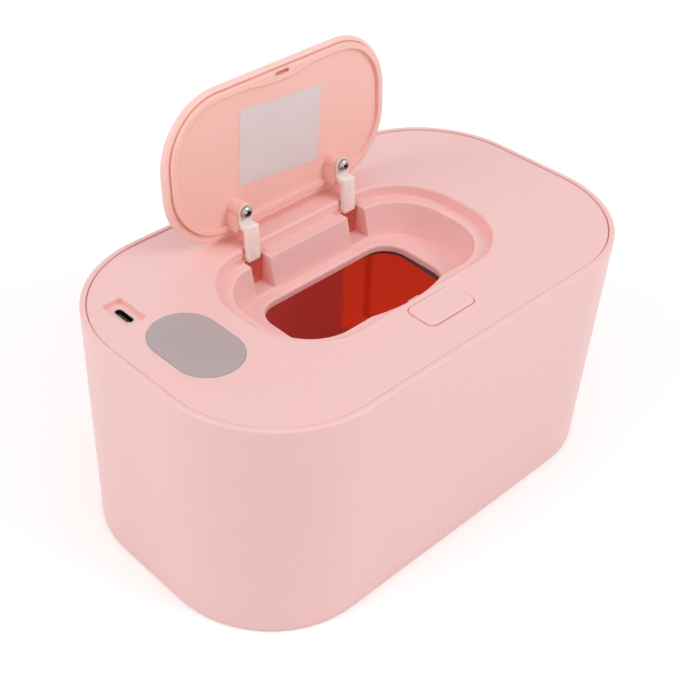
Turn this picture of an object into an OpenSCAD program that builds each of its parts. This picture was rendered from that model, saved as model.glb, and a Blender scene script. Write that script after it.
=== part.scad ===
// Baby wipe warmer: a drafted tub with a heated lining, a lift-off top cover that carries the
// electronics and the wipe well, and a hinged well lid that a push button lets go.
// Millimetres, +Z up, the feet stand on Z = 0 and the button faces -Y. The lid is shown open.

/* [View] */
// Sub-part to build, or all of them

/* [Tub] */
// Overall width at the rim
body_w = 200; // [170:1:240]
// Overall depth at the rim
body_d = 120.1; // [105:0.1:150]
// Overall height, feet to rim
body_h = 94; // [80:0.5:120]
// Plan corner radius at the rim
corner_r = 44.5; // [38:0.5:50]
// How far each side draws in from the rim to the base
draft_in = 2.3; // [0:0.1:4]
// Tub wall thickness
shell_t = 2.1; // [1.6:0.1:3]
// Tub floor thickness
floor_t = 2.2; // [1.6:0.1:3.5]
// Rounding of the rim's outer edge
rim_fillet = 0.8; // [0.3:0.1:1]
// How far the inner shoulder stands in from the wall
shoulder_w = 1.3; // [0.8:0.1:2]
// Shoulder height on the wall
shoulder_h = 3; // [2:0.5:5]
// Foot radius
foot_r = 6; // [4:0.5:9]
// How far the feet stand proud of the base
foot_proud = 0.8; // [0.5:0.1:2]
// Depth of the pocket each foot sits in
foot_pocket = 1; // [0.5:0.1:1.4]
// Foot place, in from the sides
foot_side = 30; // [20:1:40]
// Foot place, in from the front and back
foot_front = 28.05; // [22:0.05:34]

/* [Heated lining] */
// Foam thickness round the sides
foam_t = 3; // [2:0.5:5]
// Foam thickness under the floor
foam_floor_t = 3; // [3:0.5:6]
// Heater lining thickness
jacket_t = 1; // [0.6:0.1:2]
// Heated floor plate thickness
pad_t = 0.8; // [0.5:0.1:1.5]
// Edge gap round the floor plate
pad_gap = 1.5; // [0.5:0.5:4]
// Tub collar thickness
collar_t = 2; // [1.5:0.1:3]
// Seal thickness between collar and cover skirt
seal_t = 1.5; // [1:0.1:3]
// Temperature sensor radius
ntc_r = 2.5; // [1.5:0.1:4]
// Temperature sensor height
ntc_h = 1.6; // [1:0.1:2.5]
// Thermal fuse radius
fuse_r = 1.3; // [1:0.1:1.4]
// Thermal fuse length
fuse_l = 11; // [8:0.5:14]
// Sensor and fuse place from the centre, across
sensor_x = 30; // [20:1:40]
// Width of the heater's flat tail
tail_w = 8; // [5:0.5:12]
// Thickness of the heater's flat tail
tail_t = 0.4; // [0.3:0.1:0.6]

/* [Top cover] */
// How far the panel sits below the rim
panel_drop = 0.45; // [0:0.05:1]
// Gap between panel edge and rim
panel_gap = 0.33; // [0.3:0.01:0.6]
// Panel skin thickness
skin_t = 1.8; // [1.5:0.1:2.5]
// Skirt wall thickness
skirt_t = 1.6; // [1.2:0.1:2.5]
// How far the skirt is set in from the panel edge
skirt_set = 0.75; // [0.5:0.05:1.5]
// Skirt depth below the panel top
skirt_h = 16; // [15.4:0.1:20]
// Underplate thickness
plate_t = 1.6; // [1.2:0.1:2.5]
// Underplate gap to the skirt
plate_gap = 0.2; // [0.1:0.05:0.5]
// Cover post radius
post_r = 3; // [2.4:0.1:4]
// Corner post place, in from the sides
post_side = 32; // [28:1:36]
// Corner post place, in from the front and back
post_front = 15.05; // [14:0.05:18]
// Middle post place, across
mid_post_x = 34; // [33:1:40]
// Middle post place, in from the front and back
mid_post_front = 13.05; // [11:0.05:15]

/* [Lid recess and well] */
// Panel width on each side of the recess
land_w = 45.5; // [43:0.5:50]
// Recess depth front to back
recess_d = 60; // [54:0.5:66]
// Recess corner radius
recess_r = 25.9; // [20:0.1:27]
// Rounding of the recess's top edge
lip_r = 1; // [0.5:0.1:1.2]
// Wall thickness of the recess and well
well_t = 2; // [1.5:0.1:2.5]
// Ledge depth below the panel
ledge_drop = 4.3; // [4.2:0.1:5]
// Ledge width
ledge_w = 5.7; // [4.5:0.1:7]
// Well floor depth below the panel
well_drop = 16.6; // [15:0.1:18]
// How far the well wall draws in on its way down
well_draft = 3.4; // [1:0.1:5]
// Dispensing opening place, in from the recess's sides
open_side = 20; // [17:0.5:28]
// Dispensing opening depth front to back
open_d = 33.5; // [24:0.5:36]
// Dispensing opening corner radius
open_r = 10; // [6:0.5:14]
// Hem depth round the opening
hem_h = 3; // [2:0.1:4]
// Hem thickness
hem_t = 1.8; // [1.2:0.1:2.5]
// Rounding of the opening's upper edge
hem_r = 1; // [0.4:0.1:1.2]
// Gasket width round the hem
gasket_w = 3.5; // [2:0.5:5]
// Gasket thickness
gasket_t = 2; // [1:0.1:3]
// Lean of the gasket, as it was stuck on by hand
gasket_lean = -4; // [-4:0.1:4]
// How far the gasket sits behind the centre
gasket_shift = 0.9; // [0:0.1:1]
// Room between the gasket's opening and the hem, front and back
gasket_room = 2; // [1.5:0.1:2.5]
// Half width of the crescent bay at the front of the ledge
bay_half = 17.5; // [12:0.5:22]
// Depth of the crescent bay
bay_deep = 2.6; // [1.5:0.1:3]
// Hinge slot place, in from the recess's corner centre
arm_in = 4.2; // [1:0.1:8]
// Hinge slot width
slot_w = 9.1; // [8.8:0.1:11]
// Hinge slot floor depth below the panel
slot_drop = 15.57; // [14.6:0.01:16]
// Hinge slot back face, in from the recess's back face
slot_set = 1.2; // [0.8:0.1:1.6]
// Slot box wall thickness
slot_t = 1.6; // [1.2:0.1:2]
// Hinge window width
win_w = 6.6; // [6.4:0.1:7]
// Hinge window sill depth below the panel
sill_drop = 14; // [13.9:0.1:14.2]

/* [Lid] */
// Gap round the closed lid
lid_gap = 0.6; // [0.4:0.05:1]
// Lid flange thickness
lid_t = 2.4; // [2:0.1:3]
// Rounding of the flange's lower edge
lid_bead = 1.6; // [1:0.1:1.8]
// Rounding of the lid's upper edge
lid_edge = 0.5; // [0.2:0.1:0.6]
// Liner inset from the lid's edge
liner_in = 2.8; // [2:0.1:4]
// Groove between flange and liner
groove = 0.4; // [0.2:0.1:0.8]
// Liner field thickness
field_t = 1.7; // [1.2:0.1:2.5]
// Pocket depth that the liner sits in
liner_seat = 1.2; // [0.8:0.1:1.5]
// Rib width
rib_w = 2.2; // [1.2:0.1:3]
// Rib height below the flange
rib_h = 1.8; // [1:0.1:1.85]
// How far the rib ring sits towards the front
rib_shift = 1; // [0:0.1:1.5]
// Half width of the latch plateau
plateau_half = 18; // [10:0.5:22]
// Depth of the latch plateau
plateau_deep = 2.5; // [1:0.1:4]
// Gap from the sticker's edge to each lug's nearer side
sticker_gap = 0.8; // [0.5:0.1:8]
// Sticker depth
sticker_d = 29; // [15:0.5:31]
// Sticker thickness
sticker_t = 0.12; // [0.08:0.01:0.2]
// Sticker lean, as it was stuck on by hand
sticker_lean = 5.4; // [-8:0.1:8]
// Sticker place across the lid
sticker_x = -0.9; // [-3:0.1:3]
// Sticker place from the lid's hinge edge
sticker_from = 31.5; // [27:0.1:34]

/* [Hinge] */
// Opening angle of the lid
open_deg = 94.55; // [80:0.05:96]
// Pivot place behind the recess's back face
pivot_back = 5.3; // [5:0.1:6]
// Pivot depth below the panel
pivot_drop = 4.85; // [4.8:0.05:5.2]
// Hinge pin radius
pin_r = 1; // [0.8:0.05:1.3]
// Running clearance of an arm on its pin, radial
pin_run = 0.05; // [0.02:0.01:0.08]
// Seat clearance of the pin in its ribs, radial
pin_fit = 0.02; // [0.01:0.01:0.03]
// Arm barrel radius
barrel_r = 2.4; // [2:0.1:2.6]
// Arm width
arm_w = 5.5; // [4:0.1:5.8]
// Arm bar, near face below the flange
bar_near = 8; // [7.6:0.1:8.2]
// Arm bar thickness
bar_t = 2.4; // [2:0.1:3]
// Arm bar end, out from the lid's hinge edge
bar_from = 7.6; // [7.2:0.1:9]
// Heel front face, ahead of the pivot
heel_front = 2.1; // [1.8:0.1:2.2]
// Heel back face, behind the pivot
heel_back = 0.7; // [0.4:0.1:0.9]
// Boss height below the flange
boss_h = 5.8; // [4:0.1:6.2]
// Boss radius
boss_r = 3.2; // [2.8:0.1:3.6]
// Half width of the lug below each boss
lug_half = 4; // [3.4:0.1:4.2]
// Lug top, ahead of the screw's axis
lug_drop = 0.7; // [0.4:0.1:1.5]
// Boss block start, out from the lid's hinge edge
boss_from = 4.6; // [4:0.1:6]
// Lid screw place, out from the lid's hinge edge
screw_from = 12.1; // [11.5:0.1:13]
// Radius of the arm's screw tab
tab_r = 3.2; // [2.9:0.1:3.6]
// Thickness of the arm's screw tab
tab_seat = 1; // [0.8:0.1:1.4]
// Tab start, out from the lid's hinge edge
tab_from = 5.4; // [4.8:0.1:6]
// Hinge rib thickness
rib_t = 1.8; // [1.4:0.1:2.4]
// Hinge rib reach behind the pivot
rib_back = 3; // [2.6:0.1:4]
// Wall thickness of the hinge box's back
box_t = 1.2; // [1:0.1:1.6]
// Torsion spring wire diameter
coil_wire = 0.6; // [0.4:0.05:0.7]
// Torsion spring coil radius to the wire's middle
coil_r = 1.9; // [1.7:0.05:2]
// Torsion spring turns
coil_turns = 3.5; // [2.5:0.5:4]
// Torsion spring pitch
coil_pitch = 0.72; // [0.7:0.01:0.9]

/* [Button and latch] */
// Button width
button_w = 22.7; // [16:0.1:28]
// Button depth front to back
button_d = 12.3; // [9:0.1:13]
// Button corner radius
button_r = 2.8; // [1.5:0.1:4]
// Gap round the button
button_gap = 0.3; // [0.3:0.05:0.5]
// Button centre, ahead of the recess's front face
button_out = 9.25; // [8.5:0.05:12]
// Button cap wall thickness
cap_t = 1.4; // [1.1:0.1:1.6]
// How far the button stands proud of the panel
button_proud = 0.7; // [0:0.1:1]
// Rounding of the button's upper edge
button_edge = 0.8; // [0.3:0.1:1]
// Button cap flange overhang under the panel
button_over = 1.4; // [1:0.1:2]
// Button travel
press = 1.6; // [1:0.1:1.6]
// Latch travel that a full press gives
latch_pull = 0.5; // [0.3:0.05:0.5]
// Gap between the button's wedge and the latch
wedge_gap = 0.08; // [0.05:0.01:0.15]
// Latch slot length in the lid
catch_w = 6.5; // [5:0.1:8]
// Latch slot width in the lid
catch_d = 1.5; // [1.4:0.1:1.6]
// Latch slot middle, out from the lid's hinge edge
catch_from = 56.05; // [55.8:0.05:56.2]
// Latch blade thickness
blade_t = 0.5; // [0.4:0.05:0.55]
// How far the blade reaches into the lid's slot
blade_in = 0.45; // [0.3:0.05:0.6]
// Latch blade width
blade_w = 5.2; // [4:0.1:5.6]
// Latch plate thickness
slide_t = 2.4; // [2:0.1:3]
// Latch plate top, below the panel
slide_drop = 8.5; // [8.3:0.1:9]
// Latch plate width
slide_w = 17; // [15:0.5:18]
// Latch tray thickness
tray_t = 1.6; // [1.2:0.1:2]
// Latch tray post place, across
tray_x = 15.6; // [14.5:0.1:18]
// Button spring coil radius to the wire's middle
spring_r = 2.5; // [2:0.1:2.8]
// Button spring wire diameter
spring_wire = 0.5; // [0.3:0.05:0.6]
// Button spring turns
spring_turns = 5; // [4:1:6]

/* [Display and supply] */
// Display window width
window_w = 24.8; // [18:0.1:26]
// Display window length front to back
window_l = 36.5; // [28:0.1:38]
// Display window centre, in from the left side
window_side = 24.6; // [23:0.1:26]
// Display window centre front to back
window_y = -0.2; // [-1:0.1:0.5]
// Gap round the window
window_gap = 0.15; // [0.1:0.05:0.3]
// Window rim under the panel
window_over = 1.4; // [1:0.1:1.5]
// Window rim thickness
window_rim = 0.9; // [0.6:0.1:1.2]
// Socket pocket width
pocket_w = 8.1; // [6:0.1:9]
// Socket pocket length
pocket_l = 14.9; // [11:0.1:15]
// Socket pocket corner radius
pocket_r = 1.2; // [0.8:0.1:4]
// Socket pocket depth
pocket_h = 2; // [1:0.1:2.5]
// Socket pocket wall thickness
pocket_t = 1.1; // [0.9:0.1:1.2]
// Socket centre, in from the left side
usb_side = 18; // [16:0.1:19]
// Socket centre front to back
usb_y = 29.4; // [29:0.1:30]
// Socket shell length, the standard size
usb_l = 8.94; // [8.94:0.01:8.94]
// Socket shell width, the standard size
usb_w = 3.26; // [3.26:0.01:3.26]
// Socket shell wall
usb_t = 0.3; // [0.25:0.05:0.35]
// Board thickness
board_t = 1.6; // [1:0.1:2]
// Board top, below the panel
board_drop = 10; // [9:0.1:11]
// Board's left edge, in from the left side
board_side = 9; // [8:0.5:10]
// Board width
board_w = 30.5; // [29:0.5:31]
// Board's front edge
board_y0 = -24; // [-26:0.5:-23]
// Board's back edge
board_y1 = 38; // [37:0.5:39]
// Board corner radius
board_r = 9; // [4:0.5:12]
// Display module width
display_w = 15; // [10:0.5:17]
// Display module length
display_l = 20; // [12:0.5:22]
// Display module centre front to back
display_y = 3.5; // [2:0.1:4]
// Controller chip width
chip_w = 7; // [4:0.5:8]
// Controller chip height
chip_h = 1; // [0.8:0.1:1.4]
// Power switch width
switch_w = 5; // [3:0.5:6]
// Power switch length
switch_l = 6; // [4:0.5:7]
// Power switch height
switch_h = 1.8; // [1:0.1:2]
// Inductor width
choke_w = 6; // [4:0.5:7]
// Inductor height
choke_h = 2; // [1:0.1:2.2]
// Capacitor radius
cap_r = 2.5; // [1.5:0.1:3]
// Capacitor height
cap_h = 2.2; // [1:0.1:2.3]
// Touch pad radius
touch_r = 3.2; // [2:0.1:3.6]
// Touch pad centre front to back
touch_y = -12.3; // [-13:0.1:-11.5]
// Board post radius
bpost_r = 2.2; // [1.8:0.1:2.3]
// Contact blade width
pole_w = 2.4; // [1.5:0.1:2.8]
// Contact blade thickness
pole_t = 0.6; // [0.4:0.1:0.8]
// Contact pitch
pole_pitch = 4; // [3.6:0.1:4.4]
// Contact place, in from the left side
pole_side = 10.5; // [10.2:0.1:11]
// Room round a contact blade in its socket
pole_room = 0.3; // [0.3:0.05:0.4]
// Socket block width across
plug_w = 5.8; // [5:0.1:6]
// Socket block length
plug_l = 14; // [13:0.5:16]
// Socket block height
plug_h = 4.4; // [4:0.1:4.6]
// Socket block ear length each end
ear_l = 4.5; // [4:0.1:5]

/* [Screws] */
// Small screw core radius
screw_r = 0.9; // [0.7:0.05:1]
// Pilot hole radius
pilot_r = 0.92; // [0.75:0.01:1.05]
// Clearance hole radius
pass_r = 1.15; // [1.1:0.05:1.3]
// Small screw head radius
head_r = 1.9; // [1.6:0.1:2.2]
// Small screw head height
head_h = 1.1; // [0.8:0.1:1.3]
// Lid screw head radius
lid_head_r = 2.6; // [2.2:0.05:2.7]
// Lid screw head height
lid_head_h = 1.6; // [1.2:0.1:1.7]
// Screw length under the head
screw_l = 5; // [4:0.5:6]
// Socket screw length under the head
plug_screw_l = 3; // [2.5:0.5:3]
// Small gap kept between fixed pieces
slip = 0.1; // [0.05:0.05:0.2]

/* [Hidden] */
$fn = 64;
eps = 0.02;

pink = "#e9c2bf";
lid_pink = "#eeb9b0";
warm_white = "#eadfd9";
smoke = "#b6abad";
red = "#b02a18";

// tub
foot_x = body_w / 2 - foot_side;
foot_y = body_d / 2 - foot_front;
zr = body_h;
zt = zr - panel_drop;
zb = foot_proud;
ccx = body_w / 2 - corner_r;
ccy = body_d / 2 - corner_r;
function outer_r(z) = corner_r - draft_in * (zr - z) / (zr - zb);
function inner_r(z) = outer_r(z) - shell_t;
floor_z = zb + floor_t;
skirt_z = zt - skirt_h;
collar_z1 = skirt_z - seal_t;
collar_z0 = collar_z1 - collar_t;
shoulder_z0 = collar_z0 - shoulder_h;
pad_z = floor_z + foam_floor_t;
foam_in = slip + foam_t;
jacket_out = foam_in + slip;
jacket_in = jacket_out + jacket_t;
collar_lip = jacket_in + 0.2;

// cover
panel_r = inner_r(zr) - panel_gap;
skirt_r = panel_r - skirt_set;
skirt_in = skirt_r - skirt_t;
post_x = body_w / 2 - post_side;
post_y = body_d / 2 - post_front;
mid_post_y = body_d / 2 - mid_post_front;
plate_z0 = skirt_z;
plate_z1 = skirt_z + plate_t;
posts = [[-post_x, -post_y], [post_x, -post_y], [-post_x, post_y], [post_x, post_y],
  [-mid_post_x, -mid_post_y], [mid_post_x, -mid_post_y], [-mid_post_x, mid_post_y],
  [mid_post_x, mid_post_y]];

// recess and well
recess_w = body_w - 2 * land_w;
open_w = recess_w - 2 * open_side;
rcx = recess_w / 2 - recess_r;
arm_x = rcx - arm_in;
rcy = recess_d / 2 - recess_r;
back_y = recess_d / 2;
ledge_z = zt - ledge_drop;
well_z = zt - well_drop;
well_r1 = recess_r - ledge_w;
well_r0 = well_r1 - well_draft;
ledge_front = -(rcy + well_r1);
bay_r = (bay_half * bay_half + bay_deep * bay_deep) / (2 * bay_deep);
bay_y = ledge_front - bay_deep + bay_r;
ocx = open_w / 2 - open_r;
ocy = open_d / 2 - open_r;
slot_z = zt - slot_drop;
slot_back = back_y - slot_set;
sill_z = zt - sill_drop;
slot_front = rcy + well_r0;

// hinge and lid, in the closed position
pivot_y = back_y + pivot_back;
pivot_z = zt - pivot_drop;
lid_r = recess_r - lid_gap;
hinge_edge = rcy + lid_r;
flange_z = zt - lid_t;
liner_r = lid_r - liner_in;
field_z = flange_z + liner_seat - field_t;
rib_z = flange_z - rib_h;
boss_z = flange_z - boss_h;
bar_z1 = flange_z - bar_near;
bar_z0 = bar_z1 - bar_t;
screw_y = hinge_edge - screw_from;
seat_z = boss_z - tab_seat;
plateau_r = (plateau_half * plateau_half + plateau_deep * plateau_deep) / (2 * plateau_deep);
rib_front = -(rcy + liner_r) - rib_shift + rib_w;
sticker_w = 2 * (arm_x - lug_half - sticker_gap);
catch_y = hinge_edge - catch_from;
spring_side = win_w / 2 + 0.3;
coil_len = coil_turns * coil_pitch + coil_wire;
inner_rib = spring_side + coil_len + 0.4;
outer_rib = win_w / 2;
pin_x0 = -outer_rib - rib_t;
pin_x1 = inner_rib + rib_t;
box_z = plate_z0 + 0.2;
box_y = pivot_y + rib_back + box_t;

// button and latch
button_y = -(recess_d / 2 + button_out);
cap_z0 = zt - skin_t - 0.3 - button_over;
hook_y0 = button_y - button_d / 2 - button_over;
hook_y1 = -(recess_d / 2 + well_t + 0.3);
leg_x = 6.2;
leg_w = 2;
leg_y = button_y - 0.9;
wedge_slope = latch_pull / press;
slide_z1 = zt - slide_drop;
slide_z0 = slide_z1 - slide_t;
tray_z1 = slide_z0 - 0.2;
tray_z0 = tray_z1 - tray_t;
leg_z = tray_z1 + press + 0.2;
blade_y = catch_y - catch_d / 2 + 0.15 + blade_t / 2;
blade_z = rib_z + blade_in;
slide_front = button_y - 4.4;
slide_back = -(rcy + well_r1) - bay_deep - well_t - 0.6;

// display and supply
window_x = window_side - body_w / 2;
usb_x = usb_side - body_w / 2;
pole_x = pole_side - body_w / 2;
board_x0 = board_side - body_w / 2;
board_x1 = board_x0 + board_w;
board_z1 = zt - board_drop;
board_z0 = board_z1 - board_t;
board_posts = [[board_x0 + 4.8, board_y0 + 4.8], [board_x1 - 4.8, board_y0 + 4.8],
  [board_x1 - 4.8, board_y1 - 4.8]];
pole_y = [-pole_pitch, 0, pole_pitch];
plug_z1 = collar_z1 + plug_h;
tab_x1 = pole_x + plug_w / 2 + 0.6;
socket_screw_y = plug_l / 2 + ear_l / 2;
pocket_x = usb_x - 0.15;
pocket_y = usb_y - 0.15;

// ---- shapes shared by the sub-parts ----

// rounded rectangle with corner centres at (+-cx, +-cy)
module rr(cx, cy, r) {
  square([2 * (cx + r), 2 * cy], center = true);
  square([2 * cx, 2 * (cy + r)], center = true);
  for (x = [-cx, cx]) for (y = [-cy, cy]) translate([x, y]) circle(r = r);
}

// carries a side profile (distance from the corner centres, height) round a rounded rectangle
module sweep(cx, cy) {
  for (a = [0, 180]) rotate([0, 0, a]) {
    translate([cx, cy, 0]) rotate_extrude(angle = 90) children();
    translate([-cx, cy, 0]) rotate([0, 0, 90]) rotate_extrude(angle = 90) children();
    translate([-cx, cy, 0]) rotate([90, 0, 90]) linear_extrude(2 * cx) children();
    translate([cx, cy, 0]) rotate([90, 0, 0]) linear_extrude(2 * cy) children();
  }
}

// cuts a round of radius r off a profile corner at (x, z); sx and sz point out of the material
module round_off(x, z, r, sx, sz) {
  difference() {
    translate([x - (sx > 0 ? r : eps), z - (sz > 0 ? r : eps)]) square(r + eps);
    translate([x - sx * r, z - sz * r]) circle(r = r);
  }
}

module stadium(w, l) {
  square([w, l - w], center = true);
  for (y = [-1, 1]) translate([0, y * (l - w) / 2]) circle(d = w);
}

module bar(x0, x1, y0, y1, z0, z1) {
  translate([x0, y0, z0]) cube([x1 - x0, y1 - y0, z1 - z0]);
}

module rod(x, y, z0, z1, r) {
  translate([x, y, z0]) cylinder(r = r, h = z1 - z0);
}

module x_rod(x0, x1, y, z, r) {
  translate([x0, y, z]) rotate([0, 90, 0]) cylinder(r = r, h = x1 - x0);
}

// turns pieces of the closed lid to the open rest pose
module opened() {
  translate([0, pivot_y, pivot_z]) rotate([-open_deg, 0, 0])
    translate([0, -pivot_y, -pivot_z]) children();
}

// a wound wire: the flat slice of a sloping round wire, turned as it rises
module coil(r, wire, turns, pitch) {
  half = min(170, wire * 180 / pitch);
  steps = 4;
  function thick(a) = wire / 2 * sqrt(max(0.04, 1 - (a / half) * (a / half)));
  outer = [for (i = [-steps:steps]) let(a = half * i / steps, q = r + thick(a))
    [q * cos(a), q * sin(a)]];
  inner = [for (i = [steps:-1:-steps]) let(a = half * i / steps, q = r - thick(a))
    [q * cos(a), q * sin(a)]];
  linear_extrude(turns * pitch, twist = -360 * turns, slices = round(turns * 14), $fn = 12)
    polygon(concat(outer, inner));
}

// pan-head screw, head up at z, shank down
module screw(x, y, z, l, hr, hh, cross = 0.5) {
  translate([x, y, z]) difference() {
    union() {
      cylinder(r = hr, h = hh);
      translate([0, 0, -l]) cylinder(r = screw_r, h = l + eps);
    }
    translate([0, 0, hh - cross]) {
      translate([-hr * 0.55, -0.25, 0]) cube([hr * 1.1, 0.5, cross + eps]);
      translate([-0.25, -hr * 0.55, 0]) cube([0.5, hr * 1.1, cross + eps]);
    }
  }
}

module screw_down(x, y, z, l) {
  translate([x, y, z]) rotate([180, 0, 0]) screw(0, 0, 0, l, head_r, head_h);
}

// ---- tub ----

module outer_shell() {
  color(pink) difference() {
    union() {
      sweep(ccx, ccy) difference() {
        polygon([[inner_r(floor_z) - 3, zb], [outer_r(zb), zb], [outer_r(zr), zr],
          [inner_r(zr), zr], [inner_r(collar_z0), collar_z0],
          [inner_r(collar_z0) - shoulder_w, collar_z0],
          [inner_r(shoulder_z0 + 1.5) - shoulder_w, shoulder_z0 + 1.5],
          [inner_r(shoulder_z0), shoulder_z0], [inner_r(floor_z), floor_z],
          [inner_r(floor_z) - 3, floor_z]]);
        round_off(outer_r(zr), zr, rim_fillet, 1, 1);
      }
      translate([0, 0, zb]) linear_extrude(floor_t) rr(ccx, ccy, inner_r(floor_z) - 2);
    }
    for (x = [-foot_x, foot_x]) for (y = [-foot_y, foot_y])
      rod(x, y, zb - 1, zb + foot_pocket, foot_r + slip);
  }
}

module rubber_feet() {
  color("#4a4648") for (x = [-foot_x, foot_x]) for (y = [-foot_y, foot_y]) {
    rod(x, y, 0.4, zb + foot_pocket, foot_r);
    translate([x, y, 0]) cylinder(r1 = foot_r - 0.4, r2 = foot_r, h = 0.4 + eps);
  }
}

module insulation_floor() {
  color("#f2f0ec") difference() {
    translate([0, 0, floor_z]) linear_extrude(foam_floor_t)
      rr(ccx, ccy, inner_r(floor_z) - jacket_in - 0.2);
    rod(sensor_x, 0, pad_z - ntc_h, pad_z + 1, ntc_r + 0.2);
    translate([-sensor_x, -fuse_l / 2 - 0.5, pad_z - 2 * fuse_r])
      cube([2 * fuse_r + 0.4, fuse_l + 1, 5]);
  }
}

module insulation_wall() {
  color("#f2f0ec") sweep(ccx, ccy)
    polygon([[inner_r(floor_z) - slip, floor_z], [inner_r(shoulder_z0) - slip, shoulder_z0 - slip],
      [inner_r(shoulder_z0) - foam_in, shoulder_z0 - slip], [inner_r(floor_z) - foam_in, floor_z]]);
}

module heater_floor_pad() {
  color("#c9c4bf") translate([0, 0, pad_z]) linear_extrude(pad_t)
    rr(ccx, ccy, inner_r(pad_z) - jacket_in - pad_gap);
}

module heater_jacket() {
  color(red) difference() {
    sweep(ccx, ccy)
      polygon([[inner_r(floor_z) - jacket_out, floor_z],
        [inner_r(collar_z0) - jacket_out, collar_z0],
        [inner_r(collar_z0) - jacket_in, collar_z0], [inner_r(floor_z) - jacket_in, floor_z]]);
    bar(-body_w, -ccx, -tail_w / 2 - 0.3, tail_w / 2 + 0.3, shoulder_z0 - 0.3, collar_z0 + 1);
  }
}

module ntc_sensor() {
  color("#2d2a2b") rod(sensor_x, 0, pad_z - ntc_h, pad_z, ntc_r);
}

module thermal_fuse() {
  color("#d8d2c8") translate([-sensor_x + fuse_r + 0.2, fuse_l / 2, pad_z - fuse_r])
    rotate([90, 0, 0]) cylinder(r = fuse_r, h = fuse_l);
}

module heater_tail() {
  x0 = -(ccx + inner_r(collar_z0) - jacket_out);
  color("#d98a3a") {
    bar(x0, x0 + tail_t, -tail_w / 2, tail_w / 2, shoulder_z0, collar_z0);
    bar(x0, pole_x + 1, -tail_w / 2, tail_w / 2, collar_z0 - tail_t, collar_z0);
    bar(pole_x + 1 - tail_t, pole_x + 1, -tail_w / 2, tail_w / 2, collar_z0 - tail_t, collar_z1);
  }
}

module tub_collar() {
  color(warm_white) difference() {
    union() {
      sweep(ccx, ccy)
        polygon([[inner_r(collar_z0) - collar_lip, collar_z0], [inner_r(collar_z0) - slip, collar_z0],
          [inner_r(collar_z0) - slip, collar_z1], [inner_r(collar_z0) - collar_lip, collar_z1]]);
      bar(-(ccx + inner_r(collar_z0) - 1), tab_x1, -plug_l / 2 - ear_l - 1, plug_l / 2 + ear_l + 1,
        collar_z0, collar_z1);
    }
    bar(pole_x + 1 - tail_t - slip, pole_x + 1 + slip, -tail_w / 2 - slip, tail_w / 2 + slip,
      collar_z0 - 1, collar_z1 + 1);
    for (y = [-socket_screw_y, socket_screw_y]) rod(pole_x, y, collar_z0 - 1, collar_z1 + 1, pilot_r);
  }
}

module seal_ring() {
  color("#8f8a8b") sweep(ccx, ccy)
    polygon([[skirt_in, collar_z1], [skirt_r, collar_z1], [skirt_r, skirt_z], [skirt_in, skirt_z]]);
}

module contact_socket() {
  x0 = pole_x - plug_w / 2;
  x1 = pole_x + plug_w / 2;
  color("#efece6") difference() {
    union() {
      bar(x0, x1, -plug_l / 2, plug_l / 2, collar_z1, plug_z1);
      bar(x0, x1, -plug_l / 2 - ear_l, plug_l / 2 + ear_l, collar_z1, collar_z1 + 1.4);
    }
    for (y = pole_y) bar(pole_x - pole_t / 2 - pole_room, pole_x + pole_t / 2 + pole_room,
      y - pole_w / 2 - pole_room, y + pole_w / 2 + pole_room, collar_z1 + 0.8, plug_z1 + 1);
    for (y = [-socket_screw_y, socket_screw_y]) rod(pole_x, y, collar_z1 - 1, plug_z1, pass_r);
  }
}

module socket_screws() {
  color("#c4c4c4") for (y = [-socket_screw_y, socket_screw_y])
    screw(pole_x, y, collar_z1 + 1.4, plug_screw_l, head_r, head_h);
}

// ---- top cover ----

// the recess wall, ledge, drafted well wall and floor, as one moulded run
module well_walls() {
  sweep(rcx, rcy) difference() {
    polygon([[recess_r + well_t, zt - skin_t / 2], [recess_r + well_t, ledge_z - well_t],
      [well_r1 + well_t, ledge_z - well_t], [well_r0 + well_t, well_z - well_t],
      [well_r0 - 1, well_z - well_t], [well_r0 - 1, well_z], [well_r0, well_z],
      [well_r1, ledge_z], [recess_r, ledge_z], [recess_r, zt - skin_t / 2]]);
  }
  translate([0, 0, well_z - well_t]) linear_extrude(well_t) rr(rcx, rcy, well_r0 - 0.5);
}

// the skin's edge round the recess, rolled over
module recess_lip() {
  sweep(rcx, rcy) difference() {
    polygon([[recess_r, zt - skin_t], [recess_r + 2 * lip_r, zt - skin_t],
      [recess_r + 2 * lip_r, zt], [recess_r, zt]]);
    round_off(recess_r, zt, lip_r, -1, 1);
  }
}

// the open space inside the drafted well wall
module well_space() {
  sweep(rcx, rcy) polygon([[well_r0 - 4, well_z], [well_r0, well_z], [well_r1, ledge_z],
    [well_r0 - 4, ledge_z]]);
}

module slot_boxes() {
  difference() {
    for (s = [-1, 1]) {
      bar(s * arm_x - slot_w / 2 - slot_t, s * arm_x + slot_w / 2 + slot_t, slot_front - 1,
        slot_back + slot_t, slot_z - slot_t, ledge_z - 0.5);
    }
    well_space();
  }
}

module slot_cuts() {
  for (s = [-1, 1]) {
    bar(s * arm_x - slot_w / 2, s * arm_x + slot_w / 2, slot_front - 2, slot_back, slot_z, zt - 1.5);
    bar(s * arm_x - win_w / 2, s * arm_x + win_w / 2, slot_back - 1, back_y + well_t + 0.4, sill_z,
      zt - skin_t);
    bar(s * arm_x - win_w / 2, s * arm_x + win_w / 2, slot_back - 1, back_y + 0.75, zt - skin_t - 1,
      zt + 1);
  }
}

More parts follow.
